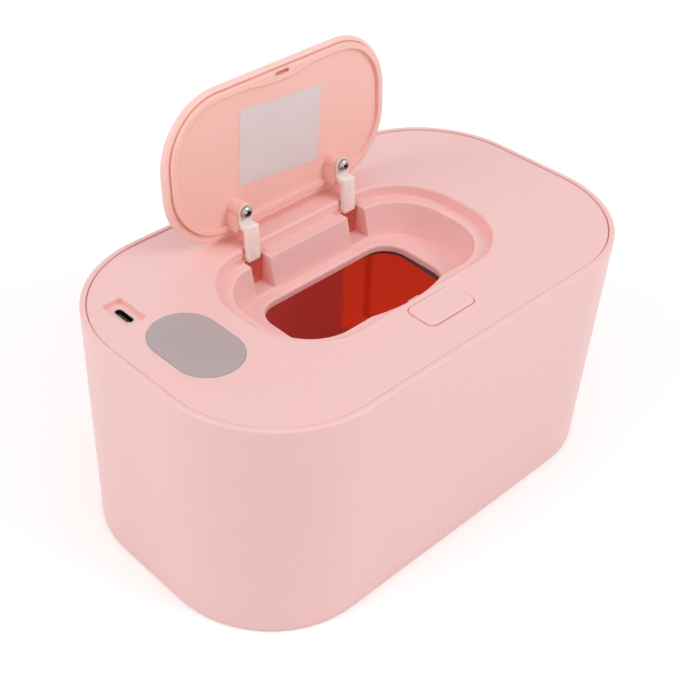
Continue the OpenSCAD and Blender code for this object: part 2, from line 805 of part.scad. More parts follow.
// each arm's pin is held by a rib on either side of the hinge window, closed at the back and below
module hinge_ribs() {
  for (s = [-1, 1]) {
    for (x = [-outer_rib - rib_t, inner_rib]) {
      x0 = s < 0 ? -arm_x + x : arm_x - x - rib_t;
      bar(x0, x0 + rib_t, back_y + 0.5, pivot_y + rib_back, box_z, zt - skin_t / 2);
    }
    x0 = s < 0 ? -arm_x - outer_rib - rib_t : arm_x - inner_rib - rib_t;
    x1 = x0 + outer_rib + inner_rib + 2 * rib_t;
    bar(x0, x1, box_y - box_t, box_y, box_z, zt - skin_t / 2);
    bar(x0, x1, back_y + 0.5, box_y, box_z, sill_z);
  }
}

module bay_wall() {
  intersection() {
    rod(0, bay_y, well_z - well_t, ledge_z - 0.5, bay_r + well_t);
    bar(-bay_half - 2, bay_half + 2, ledge_front - bay_deep - well_t - 1, -(rcy + well_r0) + 1,
      well_z - well_t, ledge_z - 0.5);
  }
}

module bay_cut() {
  intersection() {
    rod(0, bay_y, well_z, zt - 1, bay_r);
    bar(-bay_half - 2, bay_half + 2, ledge_front - bay_deep - 1, -(rcy + well_r0) + 1.5, well_z,
      zt - 1);
  }
}

module latch_gate() {
  gate = blade_w / 2 + 0.5;
  bar(-gate, gate, blade_y - blade_t / 2 - 0.5, ledge_front, slide_z0 - 0.4, ledge_z + 1);
  bar(-gate, gate, ledge_front - bay_deep - well_t - 1, ledge_front, slide_z0 - 0.4, slide_z1 + 0.4);
}

module top_cover() {
  color(pink) difference() {
    union() {
      difference() {
        translate([0, 0, zt - skin_t]) linear_extrude(skin_t) rr(ccx, ccy, panel_r);
        translate([0, 0, zt - skin_t - 1]) linear_extrude(skin_t + 2) rr(rcx, rcy, recess_r + lip_r);
      }
      recess_lip();
      translate([0, 0, skirt_z]) linear_extrude(skirt_h - skin_t / 2) difference() {
        rr(ccx, ccy, skirt_r);
        rr(ccx, ccy, skirt_in);
      }
      well_walls();
      bay_wall();
      slot_boxes();
      hinge_ribs();
      translate([pocket_x, pocket_y, zt - pocket_h - pocket_t])
        linear_extrude(pocket_h + pocket_t - skin_t / 2)
        offset_rr(pocket_w + 2 * pocket_t, pocket_l + 2 * pocket_t, pocket_r + pocket_t);
      for (p = posts) rod(p[0], p[1], plate_z1, zt - skin_t / 2, post_r);
      for (p = board_posts) rod(p[0], p[1], board_z1, zt - skin_t / 2, bpost_r);
      for (x = [-tray_x, tray_x]) rod(x, button_y, tray_z1, zt - skin_t / 2, bpost_r);
    }
    translate([0, 0, well_z - 3]) linear_extrude(6) rr(ocx, ocy, open_r + hem_t / 2);
    slot_cuts();
    bay_cut();
    latch_gate();
    for (s = [-1, 1]) x_rod(s < 0 ? -arm_x + pin_x0 - 1 : arm_x - pin_x1 - 1,
      s < 0 ? -arm_x + pin_x1 + 1 : arm_x - pin_x0 + 1, pivot_y, pivot_z, pin_r + pin_fit);
    translate([0, button_y, zt - skin_t - 1]) linear_extrude(skin_t + 2)
      offset_rr(button_w + 2 * button_gap, button_d + 2 * button_gap, button_r + button_gap);
    translate([window_x, window_y, zt - skin_t - 1]) linear_extrude(skin_t + 2)
      stadium(window_w + 2 * window_gap, window_l + 2 * window_gap);
    translate([pocket_x, pocket_y, zt - pocket_h]) linear_extrude(pocket_h + 1)
      offset_rr(pocket_w, pocket_l, pocket_r);
    translate([usb_x, usb_y, zt - 6]) linear_extrude(6) stadium(usb_w + 2 * slip, usb_l + 2 * slip);
    for (p = posts) rod(p[0], p[1], plate_z1 - 1, plate_z1 + screw_l, pilot_r);
    for (p = board_posts) rod(p[0], p[1], board_z1 - 1, board_z1 + screw_l - board_t, pilot_r);
    for (x = [-tray_x, tray_x]) rod(x, button_y, tray_z1 - 1, tray_z1 + screw_l - tray_t, pilot_r);
  }
  color(pink) opening_hem();
}

// rounded rectangle given by its overall size
module offset_rr(w, l, r) {
  rr(w / 2 - r, l / 2 - r, r);
}

// the rolled edge of the dispensing opening
module opening_hem() {
  sweep(ocx, ocy) difference() {
    polygon([[open_r, well_z - hem_h], [open_r + hem_t, well_z - hem_h], [open_r + hem_t, well_z],
      [open_r, well_z]]);
    round_off(open_r, well_z, hem_r, -1, 1);
  }
}

module well_gasket() {
  color("#5b5556") translate([0, gasket_shift, 0]) rotate([0, 0, gasket_lean])
    sweep(ocx, ocy + gasket_room)
    polygon([[open_r + 0.2, well_z - hem_h - gasket_t], [open_r + gasket_w, well_z - hem_h - gasket_t],
      [open_r + gasket_w, well_z - hem_h], [open_r + 0.2, well_z - hem_h]]);
}

module cover_underplate() {
  hole_r = well_r0 + well_t + 1.6;
  color("#e7e0dc") difference() {
    translate([0, 0, plate_z0]) linear_extrude(plate_t) difference() {
      rr(ccx, ccy, skirt_in - plate_gap);
      rr(rcx, rcy, hole_r);
      for (s = [-1, 1]) translate([s * arm_x - slot_w / 2 - slot_t - 0.4, 0])
        square([slot_w + 2 * slot_t + 0.8, slot_back + slot_t + 0.4]);
      for (s = [-1, 1]) translate([s < 0 ? pin_x0 - arm_x - 0.4 : arm_x - pin_x1 - 0.4, 0])
        square([pin_x1 - pin_x0 + 0.8, box_y + 0.4]);
      translate([-bay_half - 2.4, ledge_front - bay_deep - well_t - 0.8])
        square([2 * bay_half + 4.8, 20]);
      translate([pole_x - plug_w / 2 - 0.6, -plug_l / 2 - ear_l - 0.6])
        square([plug_w + 1.2, plug_l + 2 * ear_l + 1.2]);
    }
    for (p = posts) rod(p[0], p[1], plate_z0 - 1, plate_z1 + 1, pass_r);
  }
}

module cover_screws() {
  color("#c4c4c4") for (p = posts)
    translate([p[0], p[1], plate_z0]) rotate([180, 0, 0])
      screw(0, 0, 0, screw_l, head_r, head_h);
}

// ---- display and supply ----

module display_window() {
  color(smoke) {
    translate([window_x, window_y, zt - skin_t - window_rim]) linear_extrude(skin_t + window_rim)
      stadium(window_w, window_l);
    translate([window_x, window_y, zt - skin_t - window_rim]) linear_extrude(window_rim)
      stadium(window_w + 2 * window_over, window_l + 2 * window_over);
  }
}

module display_module() {
  z1 = zt - skin_t - window_rim;
  color("#e8e8e4") translate([window_x - display_w / 2, display_y - display_l / 2, board_z1])
    cube([display_w, display_l, z1 - board_z1]);
}

module touch_pad() {
  z1 = zt - skin_t - window_rim;
  color("#8c8a88") rod(window_x, touch_y, board_z1, z1, touch_r);
}

module control_pcb() {
  color("#2f6b45") difference() {
    translate([(board_x0 + board_x1) / 2, (board_y0 + board_y1) / 2, board_z0])
      linear_extrude(board_t) offset_rr(board_x1 - board_x0, board_y1 - board_y0, board_r);
    for (p = board_posts) rod(p[0], p[1], board_z0 - 1, board_z1 + 1, pass_r);
    for (y = pole_y) bar(pole_x - pole_t / 2 - 0.05, pole_x + pole_t / 2 + 0.05,
      y - pole_w / 2 - 0.05, y + pole_w / 2 + 0.05, board_z0 - 1, board_z1 + 1);
  }
}

// controller, power switch, inductor and capacitor on the board's underside
module pcb_parts() {
  chip_y = display_y - chip_w;
  switch_y = usb_y - usb_l / 2 - 2.5 * switch_l;
  choke_x = board_x1 - 1.5 * choke_w;
  color("#262427") {
    bar(window_x - chip_w / 2, window_x + chip_w / 2, chip_y - chip_w / 2, chip_y + chip_w / 2,
      board_z0 - chip_h, board_z0);
    bar(usb_x, usb_x + switch_w, switch_y, switch_y + switch_l, board_z0 - switch_h, board_z0);
    bar(choke_x, choke_x + choke_w, display_y, display_y + choke_w, board_z0 - choke_h, board_z0);
    rod(board_x1 - 4 * cap_r, usb_y - 4 * cap_r, board_z0 - cap_h, board_z0, cap_r);
  }
}

module usb_c_socket() {
  z1 = zt - pocket_h - slip;
  color("#b9b9bb") translate([usb_x, usb_y, board_z1]) difference() {
    linear_extrude(z1 - board_z1) stadium(usb_w, usb_l);
    translate([0, 0, 1.2]) linear_extrude(z1 - board_z1)
      stadium(usb_w - 2 * usb_t, usb_l - 2 * usb_t);
  }
}

module usb_tongue() {
  z1 = zt - pocket_h - slip;
  color("#1d1d1f") bar(usb_x - 0.35, usb_x + 0.35, usb_y - 3.3, usb_y + 3.3, board_z1 + 1.2, z1 - 0.9);
}

module contact_blades() {
  color("#c9a45a") for (y = pole_y) {
    bar(pole_x - pole_t / 2, pole_x + pole_t / 2, y - pole_w / 2, y + pole_w / 2,
      collar_z1 + 1.4, board_z1 + 0.6);
  }
}

module pcb_screws() {
  color("#c4c4c4") for (p = board_posts) screw_down(p[0], p[1], board_z0, screw_l);
}

// ---- hinge ----

module hinge_pins() {
  color("#bfbfc2") for (s = [-1, 1]) x_rod(s < 0 ? -arm_x + pin_x0 : arm_x - pin_x1,
    s < 0 ? -arm_x + pin_x1 : arm_x - pin_x0, pivot_y, pivot_z, pin_r);
}

// close-wound torsion springs between each arm and its inner rib, one leg under the skin
module hinge_springs() {
  color("#9a9a9e") for (s = [-1, 1]) translate([s * -arm_x, pivot_y, pivot_z]) {
    translate([s > 0 ? spring_side : -spring_side - coil_turns * coil_pitch, 0, 0])
      rotate([0, 90, 0]) coil(coil_r, coil_wire, coil_turns, coil_pitch);
  }
}

module latch_tray() {
  x1 = tray_x + bpost_r + 0.6;
  color(warm_white) difference() {
    union() {
      bar(-x1, x1, slide_front - 1, slide_back - 0.6, tray_z0, tray_z1);
      for (s = [-1, 1]) bar(s > 0 ? slide_w / 2 + 0.3 : -slide_w / 2 - 1.7,
        s > 0 ? slide_w / 2 + 1.7 : -slide_w / 2 - 0.3, slide_front - 1, slide_back - 0.6,
        tray_z0, slide_z1 + 0.4);
    }
    for (x = [-tray_x, tray_x]) rod(x, button_y, tray_z0 - 1, tray_z1 + 1, pass_r);
  }
}

module tray_screws() {
  color("#c4c4c4") for (x = [-tray_x, tray_x]) screw_down(x, button_y, tray_z0, screw_l);
}

// ---- lid, drawn closed and turned open ----

module lid_cap() {
  color(pink) opened() difference() {
    union() {
      sweep(rcx, rcy) difference() {
        polygon([[lid_r - 4, flange_z], [lid_r, flange_z], [lid_r, zt], [lid_r - 4, zt]]);
        round_off(lid_r, flange_z, lid_bead, 1, -1);
        round_off(lid_r, zt, lid_edge, 1, 1);
      }
      translate([0, 0, flange_z]) linear_extrude(lid_t) rr(rcx, rcy, lid_r - 3);
    }
    translate([0, -rib_shift, flange_z - 1]) linear_extrude(liner_seat + 1)
      rr(rcx, rcy, liner_r + groove);
  }
}

module boss(s) {
  rod(s * arm_x, screw_y, boss_z, field_z + eps, boss_r);
  bar(s * arm_x - lug_half, s * arm_x + lug_half, screw_y + lug_drop, hinge_edge - boss_from, boss_z,
    field_z + eps);
}

module lid_liner() {
  color(lid_pink) opened() difference() {
    union() {
      translate([0, -rib_shift, 0]) {
        translate([0, 0, field_z]) linear_extrude(field_t) rr(rcx, rcy, liner_r);
        translate([0, 0, rib_z]) linear_extrude(field_z - rib_z + eps) difference() {
          rr(rcx, rcy, liner_r);
          rr(rcx, rcy, liner_r - rib_w);
        }
      }
      translate([0, 0, rib_z]) linear_extrude(field_z - rib_z + eps) intersection() {
        translate([0, rib_front - 0.7 + plateau_deep - plateau_r]) circle(r = plateau_r, $fn = 128);
        translate([-plateau_half, rib_front - rib_w / 2]) square([2 * plateau_half, 8]);
      }
      for (s = [-1, 1]) boss(s);
    }
    bar(-catch_w / 2, catch_w / 2, catch_y - catch_d / 2, catch_y + catch_d / 2, rib_z - 1,
      field_z + 0.6);
    for (s = [-1, 1]) rod(s * arm_x, screw_y, boss_z - 1, seat_z + screw_l + 0.3, pilot_r);
  }
}

// gooseneck arm: screw tab, bar through the slot, heel up to the pivot barrel
module hinge_arm(s) {
  color(warm_white) opened() difference() {
    translate([s * arm_x, 0, 0]) union() {
      intersection() {
        rod(0, screw_y, seat_z, boss_z, tab_r);
        bar(-arm_w, arm_w, screw_y - tab_r - 1, screw_y + 0.5, seat_z - 1, boss_z);
      }
      bar(-tab_r, tab_r, screw_y, hinge_edge - bar_from, seat_z, boss_z);
      bar(-arm_w / 2, arm_w / 2, screw_y, hinge_edge - tab_from, seat_z, boss_z);
      bar(-arm_w / 2, arm_w / 2, hinge_edge - bar_from, hinge_edge - tab_from, bar_z1, seat_z + eps);
      bar(-arm_w / 2, arm_w / 2, hinge_edge - bar_from, pivot_y + heel_back, bar_z0, bar_z1 + eps);
      bar(-arm_w / 2, arm_w / 2, pivot_y - heel_front, pivot_y + heel_back, bar_z0, pivot_z);
      x_rod(-arm_w / 2, arm_w / 2, pivot_y, pivot_z, barrel_r);
    }
    x_rod(s * arm_x - arm_w, s * arm_x + arm_w, pivot_y, pivot_z, pin_r + pin_run);
    rod(s * arm_x, screw_y, bar_z1 - 1, boss_z + 1, pass_r);
  }
}

module hinge_arm_left() {
  hinge_arm(-1);
}

module hinge_arm_right() {
  hinge_arm(1);
}

module lid_screws() {
  color("#c4c4c4") opened() for (s = [-1, 1])
    translate([s * arm_x, screw_y, seat_z]) rotate([180, 0, 0])
      screw(0, 0, 0, screw_l, lid_head_r, lid_head_h, 0.8);
}

module lid_sticker() {
  color("#cfcacc") opened() translate([sticker_x, hinge_edge - sticker_from, field_z - sticker_t])
    rotate([0, 0, sticker_lean]) linear_extrude(sticker_t) offset_rr(sticker_w, sticker_d, 1.2);
}

// ---- button and latch ----

module release_button() {
  top = zt + button_proud;
  color(pink) {
    translate([0, button_y, 0]) {
      sweep(button_w / 2 - button_r, button_d / 2 - button_r) difference() {
        polygon([[button_r - cap_t, cap_z0], [button_r, cap_z0], [button_r, top], [button_r - cap_t, top]]);
        round_off(button_r, top, button_edge, 1, 1);
      }
      translate([0, 0, top - cap_t]) linear_extrude(cap_t)
        rr(button_w / 2 - button_r, button_d / 2 - button_r, button_r - cap_t / 2 - button_edge / 2);
    }
    translate([0, 0, cap_z0]) linear_extrude(button_over) difference() {
      translate([0, (hook_y0 + hook_y1) / 2])
        offset_rr(button_w + 2 * button_over, hook_y1 - hook_y0, button_r);
      translate([0, button_y]) offset_rr(button_w - 1, button_d - 1, button_r - 0.5);
    }
    for (s = [-1, 1]) translate([s * leg_x - leg_w / 2, 0, 0]) rotate([90, 0, 90])
      linear_extrude(leg_w) polygon([[leg_y, leg_z], [leg_y, top - 1],
        [leg_y + 1.6 + wedge_slope * (top - 1 - leg_z), top - 1], [leg_y + 1.6, leg_z]]);
    rod(0, button_y, top - 3, top - 1, spring_r - spring_wire);
  }
}

module button_spring() {
  top = zt + button_proud - cap_t;
  color("#9a9a9e") translate([0, button_y, tray_z1])
    coil(spring_r, spring_wire, spring_turns, (top - tray_z1) / spring_turns);
}

// plate under the button with two wedge windows, a spring hole and the upright latch blade
module latch_slider() {
  color(pink) difference() {
    union() {
      bar(-slide_w / 2, slide_w / 2, slide_front, slide_back - 0.6, slide_z0, slide_z1);
      bar(-blade_w / 2, blade_w / 2, slide_back - 1, blade_y + blade_t / 2, slide_z0, slide_z1);
      bar(-blade_w / 2, blade_w / 2, blade_y - blade_t / 2, blade_y + blade_t / 2, slide_z0, blade_z);
    }
    rod(0, button_y, slide_z0 - 1, slide_z1 + 1, spring_r + spring_wire / 2 + latch_pull + 0.4);
    for (s = [-1, 1]) translate([s * leg_x - leg_w / 2 - 0.3, 0, 0]) rotate([90, 0, 90])
      linear_extrude(leg_w + 0.6) polygon([[leg_y - latch_pull - 0.5, slide_z0 - 1],
        [leg_y - latch_pull - 0.5, slide_z1 + 1],
        [leg_y + 1.6 + wedge_gap + wedge_slope * (slide_z1 + 1 - leg_z), slide_z1 + 1],
        [leg_y + 1.6 + wedge_gap + wedge_slope * (slide_z0 - 1 - leg_z), slide_z0 - 1]]);
  }
}

outer_shell();
rubber_feet();
insulation_floor();
insulation_wall();
heater_floor_pad();
heater_jacket();
ntc_sensor();
thermal_fuse();
heater_tail();
tub_collar();
seal_ring();
contact_socket();
socket_screws();
top_cover();
well_gasket();
cover_underplate();
cover_screws();
display_window();
display_module();
touch_pad();
control_pcb();
pcb_parts();
usb_c_socket();
usb_tongue();
contact_blades();
pcb_screws();
hinge_pins();
hinge_springs();
latch_tray();
tray_screws();
lid_cap();
lid_liner();
hinge_arm_left();
hinge_arm_right();
lid_screws();
lid_sticker();
release_button();
button_spring();
latch_slider();
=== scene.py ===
# %% [markdown]
# # A baby wipe warmer, dressed for its portrait
# The CAD model gives every part its true shape and place. This lesson adds what the eye needs:
# the camera of the photograph, soft studio light, and a surface for each material. It also
# makes the few pieces whose small forms are easier to shape as a mesh, such as the screw heads.

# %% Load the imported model
import math

import bmesh
import bpy
from mathutils import Matrix, Vector


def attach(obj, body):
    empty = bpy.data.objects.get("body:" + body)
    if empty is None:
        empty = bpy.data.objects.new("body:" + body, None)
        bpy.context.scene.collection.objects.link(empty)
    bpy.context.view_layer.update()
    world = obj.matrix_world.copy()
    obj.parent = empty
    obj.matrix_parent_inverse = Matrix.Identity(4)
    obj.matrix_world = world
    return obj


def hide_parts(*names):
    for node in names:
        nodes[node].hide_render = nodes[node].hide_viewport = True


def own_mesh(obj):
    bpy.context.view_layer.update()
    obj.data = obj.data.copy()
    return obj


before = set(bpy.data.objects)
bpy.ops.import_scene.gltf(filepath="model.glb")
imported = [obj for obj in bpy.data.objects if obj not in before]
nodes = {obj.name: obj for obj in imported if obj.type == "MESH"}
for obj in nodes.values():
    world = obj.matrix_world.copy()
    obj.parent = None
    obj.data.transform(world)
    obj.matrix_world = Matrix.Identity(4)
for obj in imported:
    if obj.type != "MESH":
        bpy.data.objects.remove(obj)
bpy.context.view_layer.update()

MM = 0.001
scene = bpy.context.scene

# %% [markdown]
# The picture was taken from the front left, well above the rim. The camera's place and its lens
# were worked out by laying the model's rim and base over the picture. The frame was cropped off
# centre, so the lens is shifted and not turned: turning it would make the upright edges lean.

# %% The camera
EYE = Vector((-285.98, -257.17, 359.04)) * MM
AIM = Vector((-22.18, 38.99, 70.33)) * MM
LENS = 69.3
SENSOR = 36
SHIFT = (0.150, -0.0813)
ROLL = math.radians(0.07)

camera_data = bpy.data.cameras.new("camera")
camera_data.lens = LENS
camera_data.sensor_width = SENSOR
camera_data.shift_x, camera_data.shift_y = SHIFT
camera_data.clip_start, camera_data.clip_end = 0.01, 20
camera = bpy.data.objects.new("camera", camera_data)
scene.collection.objects.link(camera)
turn = (AIM - EYE).to_track_quat("-Z", "Y").to_matrix().to_4x4()
camera.matrix_world = Matrix.Translation(EYE) @ turn @ Matrix.Rotation(ROLL, 4, "Z")
scene.camera = camera
print("camera is", round((AIM - EYE).length, 3), "m from the rim")

# %% [markdown]
# A material is a small network of nodes. Three helpers keep the network short to write: one turns
# the hex colours of a paint chart, which are sRGB, to the linear values that light is worked out
# with, one adds a node with its settings and its links in a single line, and one starts a material
# with its shader, its output and the coordinates that its patterns are placed by.

# %% Helpers for colours and nodes


def linear(hex_colour):
    parts = [int(hex_colour[i : i + 2], 16) / 255 for i in (1, 3, 5)]
    lit = [c / 12.92 if c <= 0.04045 else ((c + 0.055) / 1.055) ** 2.4 for c in parts]
    return (*lit, 1.0)


def add(tree, kind, settings=None, links=None):
    node = tree.nodes.new(kind)
    for key, value in (settings or {}).items():
        if isinstance(key, str) and hasattr(node, key):
            setattr(node, key, value)
        else:
            node.inputs[key].default_value = value
    for key, (source, output) in (links or {}).items():
        tree.links.new(source.outputs[output], node.inputs[key])
    return node


def start(name, settings):
    material = bpy.data.materials.new(name)
    material.use_nodes = True
    tree = material.node_tree
    tree.nodes.clear()
    shader = add(tree, "ShaderNodeBsdfPrincipled", settings)
    add(tree, "ShaderNodeOutputMaterial", links={"Surface": (shader, "BSDF")})
    place = add(tree, "ShaderNodeTexCoord")
    return material, tree, shader, place


print("white is", linear("#FFFFFF"))

# %% [markdown]
# ## Moulded plastic
# The tub, the cover, the lid cap and the button are ABS, moulded in a pale pink. Such a surface
# is satin: the mould is blasted with fine grit, and the plastic sinks very slightly as it cools,
# so a reflection is soft and wavers a little. The colour drifts by a shade over a hand's width.
# The grit's grain is near 0.1 mm, too fine to see here, so it is drawn at 0.5 mm.
#
# In a hollow the light has bounced from pink to pink and comes back warmer, and down a narrow gap
# it comes back deep salmon, with a little that has leaked through the plastic itself. Each hollow
# could be tinted by its place, but an Ambient Occlusion node tells how closed in a point is, and
# so the tint still fits when the lid is shut.

# %% Light that has bounced in a hollow
REACH = 14 * MM
HOLLOW = (0.95, 0.45)
GAP = (0.3, 0.08)
GAP_PINK = "#D5847B"
LEAK = 0.22


def closed_in(tree, near, base, limits, tint):
    share = add(tree, "ShaderNodeMapRange", {"From Min": limits[0], "From Max": limits[1]},
                {"Value": (near, "AO")})
    mix = add(tree, "ShaderNodeMix", {"data_type": "RGBA"}, {0: (share, "Result")})
    tree.links.new(base, mix.inputs[6])
    mix.inputs[7].default_value = linear(tint)
    return mix.outputs[2], share


def bounced_light(tree, shader, base, warm):
    near = add(tree, "ShaderNodeAmbientOcclusion", {"samples": 6, "Distance": REACH})
    base, _ = closed_in(tree, near, base, HOLLOW, warm)
    base, deep = closed_in(tree, near, base, GAP, GAP_PINK)
    leak = add(tree, "ShaderNodeMath", {"operation": "MULTIPLY", 1: LEAK}, {0: (deep, "Result")})
    shader.inputs["Emission Color"].default_value = linear(GAP_PINK)
    tree.links.new(leak.outputs["Value"], shader.inputs["Emission Strength"])
    return base


print("hollows are felt", round(REACH / MM), "mm away")

# %% [markdown]
# Rounded edges of a moulding catch the light. A Bevel node gives the normal of a rounded edge,
# which shades it, and where that turns away from the flat face's own normal the colour is painted
# lighter: a painted highlight. Rounding the mesh would light the edge for real, but the node needs
# no new faces on the large parts.

# %% ABS, moulded satin
GRIT = 0.5 * MM
SINK = 35 * MM
DRIFT = 70 * MM
EDGE = 0.35 * MM
SKIN = 3 * MM
SKIN_REACH = (1.0, 0.42, 0.36)
UNEVEN = (0.04, 0.05)
TURNED = (0.995, 0.8)
EDGE_HIGHLIGHT = "#FFDDD8"


def painted_edge_highlight(tree, rounded, base, highlight):
    flat = add(tree, "ShaderNodeNewGeometry")
    turned = add(tree, "ShaderNodeVectorMath", {"operation": "DOT_PRODUCT"},
                 {0: (rounded, "Normal"), 1: (flat, "Normal")})
    highlight_share = add(tree, "ShaderNodeMapRange",
               {"From Min": TURNED[0], "From Max": TURNED[1], "To Max": highlight},
               {"Value": (turned, "Value")})
    # The lighter colour mixed in here along rounded edges is a painted highlight.
    highlit = add(tree, "ShaderNodeMix", {"data_type": "RGBA"}, {0: (highlight_share, "Result")})
    tree.links.new(base, highlit.inputs[6])
    highlit.inputs[7].default_value = linear(EDGE_HIGHLIGHT)
    return highlit.outputs[2]


def moulded(name, colour, shade, rough, glow=0.0, edge=EDGE, highlight=0.0, warm=None):
    m, tree, shader, place = start(name, {"IOR": 1.53, "Subsurface Weight": glow})
    shader.inputs["Subsurface Radius"].default_value = SKIN_REACH
    shader.inputs["Subsurface Scale"].default_value = SKIN
    drift = add(tree, "ShaderNodeTexNoise", {"Scale": 1 / DRIFT, "Detail": 2.0},
                {"Vector": (place, "Object")})
    mix = add(tree, "ShaderNodeMix", {"data_type": "RGBA"}, {0: (drift, "Fac")})
    mix.inputs[6].default_value = linear(colour)
    mix.inputs[7].default_value = linear(shade)
    rounded = add(tree, "ShaderNodeBevel", {"samples": 6, "Radius": edge})
    base = painted_edge_highlight(tree, rounded, mix.outputs[2], highlight)
    if warm:
        base = bounced_light(tree, shader, base, warm)
    tree.links.new(base, shader.inputs["Base Color"])
    sink = add(tree, "ShaderNodeTexNoise", {"Scale": 1 / SINK, "Detail": 1.0},
               {"Vector": (place, "Object")})
    grain = add(tree, "ShaderNodeTexNoise", {"Scale": 1 / GRIT, "Detail": 3.0},
                {"Vector": (place, "Object")})
    span = add(tree, "ShaderNodeMapRange",
               {"To Min": rough - UNEVEN[0], "To Max": rough + UNEVEN[1]},
               {"Value": (grain, "Fac")})
    tree.links.new(span.outputs["Result"], shader.inputs["Roughness"])
    wave = add(tree, "ShaderNodeBump", {"Strength": 0.35, "Distance": 0.2 * MM},
               {"Height": (sink, "Fac"), "Normal": (rounded, "Normal")})
    fine = add(tree, "ShaderNodeBump", {"Strength": 0.5, "Distance": 0.02 * MM},
               {"Height": (grain, "Fac"), "Normal": (wave, "Normal")})
    tree.links.new(fine.outputs["Normal"], shader.inputs["Normal"])
    return m


# The lighter edges these plastics get are a painted highlight.
pink_abs = moulded("abs_satin_pink", "#F2C5C3", "#F0C2C0", 0.36, glow=0.25, edge=0.7 * MM,
                   highlight=0.6, warm="#F2C5C3")
# The lid cap's rose is painted light bounced from the warm well; its outside is tinted back to the
# cover's pink below.
lid_abs = moulded("abs_satin_pink_painted_bounce", "#FDCDC4", "#FBCAC1", 0.36, glow=0.25, edge=0.6 * MM,
                  highlight=0.5, warm="#FFD6CC")
# The liner's salmon is partly painted bounce light from the well.
liner_abs = moulded("abs_satin_salmon", "#FEC9BE", "#FCC6BB", 0.34, glow=0.25, edge=0.6 * MM,
                    highlight=0.4, warm="#FFC9BE")
white_abs = moulded("abs_moulded_white", "#E9E2DD", "#E4DCD7", 0.42)
black_resin = moulded("epoxy_moulded_black", "#1D1716", "#241D1C", 0.45)
print("plastics:", pink_abs.name, liner_abs.name, white_abs.name)

# %% [markdown]
# ## Natural nylon
# The hinge arms are unfilled nylon, milky and a little see-through at the edges. Light goes about
# two millimetres into it and comes out again, which subsurface scattering gives. Without it the
# arms would look like chalk. The thin tab under each screw lets the salmon boss behind it show
# through, so the colour warms towards it.


# %% Nylon, injection moulded
TAB_Z = (102.5 * MM, 106.5 * MM)
MILK = 4 * MM
MILK_DEPTH = 2.5 * MM
MILK_REACH = (1.0, 0.75, 0.6)


def nylon(name):
    m, tree, shader, place = start(name, {"IOR": 1.53, "Subsurface Weight": 0.7})
    shader.inputs["Subsurface Radius"].default_value = MILK_REACH
    shader.inputs["Subsurface Scale"].default_value = MILK_DEPTH
    cloud = add(tree, "ShaderNodeTexNoise", {"Scale": 1 / MILK, "Detail": 2.0},
                {"Vector": (place, "Object")})
    ramp = add(tree, "ShaderNodeValToRGB", links={"Fac": (cloud, "Fac")})
    ramp.color_ramp.elements[0].color = linear("#F3E4DD")
    ramp.color_ramp.elements[1].color = linear("#FAF0EB")
    xyz = add(tree, "ShaderNodeSeparateXYZ", links={"Vector": (place, "Object")})
    thin = add(tree, "ShaderNodeMapRange", {"From Min": TAB_Z[0], "From Max": TAB_Z[1]},
               {"Value": (xyz, "Z")})
    tint = add(tree, "ShaderNodeMix", {"data_type": "RGBA"}, {0: (thin, "Result")})
    tree.links.new(ramp.outputs["Color"], tint.inputs[6])
    tint.inputs[7].default_value = linear("#F3CCC2")
    tree.links.new(tint.outputs[2], shader.inputs["Base Color"])
    rough = add(tree, "ShaderNodeMapRange", {"To Min": 0.3, "To Max": 0.42},
                {"Value": (cloud, "Fac")})
    tree.links.new(rough.outputs["Result"], shader.inputs["Roughness"])
    rounded = add(tree, "ShaderNodeBevel", {"samples": 6, "Radius": 0.4 * MM})
    bump = add(tree, "ShaderNodeBump", {"Strength": 0.3, "Distance": 0.05 * MM},
               {"Height": (cloud, "Fac"), "Normal": (rounded, "Normal")})
    tree.links.new(bump.outputs["Normal"], shader.inputs["Normal"])
    return m


nylon_white = nylon("nylon_natural")
print("arms:", nylon_white.name)

# %% [markdown]
# ## Metals
# The screws are nickel plated, bright with tiny pits. The springs are drawn wire, and those in the
# hinges are painted a dark red-brown: painted shade, matching the shadow of their slots. The hinge
# pins are ground, with marks that run along them. Brass shows on the contact blades. One function
# makes them all, because they differ only in colour, in gloss, and in the size and direction of
# their marks.


# %% Nickel, steel and brass
WORN = (0.7, 1.4)


def metal(name, colour, rough, grain, stretch=(1, 1, 1)):
    m, tree, shader, place = start(name, {"Base Color": linear(colour), "Metallic": 1.0})
    scale = add(tree, "ShaderNodeMapping", {"Scale": stretch}, {"Vector": (place, "Object")})
    noise = add(tree, "ShaderNodeTexNoise", {"Scale": 1 / grain, "Detail": 4.0},
                {"Vector": (scale, "Vector")})
    span = add(tree, "ShaderNodeMapRange", {"To Min": rough * WORN[0], "To Max": rough * WORN[1]},
               {"Value": (noise, "Fac")})
    tree.links.new(span.outputs["Result"], shader.inputs["Roughness"])
    bump = add(tree, "ShaderNodeBump", {"Strength": 0.25, "Distance": 0.01 * MM},
               {"Height": (noise, "Fac")})
    tree.links.new(bump.outputs["Normal"], shader.inputs["Normal"])
    return m


nickel = metal("steel_nickel_plated", "#B2AEAC", 0.2, 0.3 * MM)
# The cross recess gets this darker, rougher steel.
darker_steel = metal("steel_recess", "#4E4A48", 0.45, 0.2 * MM)
wire_steel = metal("steel_drawn_wire", "#A9A9AC", 0.28, 0.2 * MM)
# The hinge springs' dark red-brown is painted shade, the shadow in their slots.
shaded_spring_steel = metal("steel_wire_painted_shade", "#7C5248", 0.35, 0.2 * MM)
pin_steel = metal("steel_ground", "#C2C2C4", 0.22, 0.2 * MM, (0.1, 1, 1))
brass = metal("brass_stamped", "#D2AE62", 0.25, 0.3 * MM)
print("metals:", nickel.name, wire_steel.name, brass.name)

# %% [markdown]
# ## Foam, rubber and film
# Closed-cell foam shows its cells, 1 to 2 mm across. A cell texture draws them, each with its own
# middle and edge, where a noise would only give clouds. The feet, the seal and the gasket are
# rubbery and matt, with a finer grain, so the same function makes them with smaller cells.


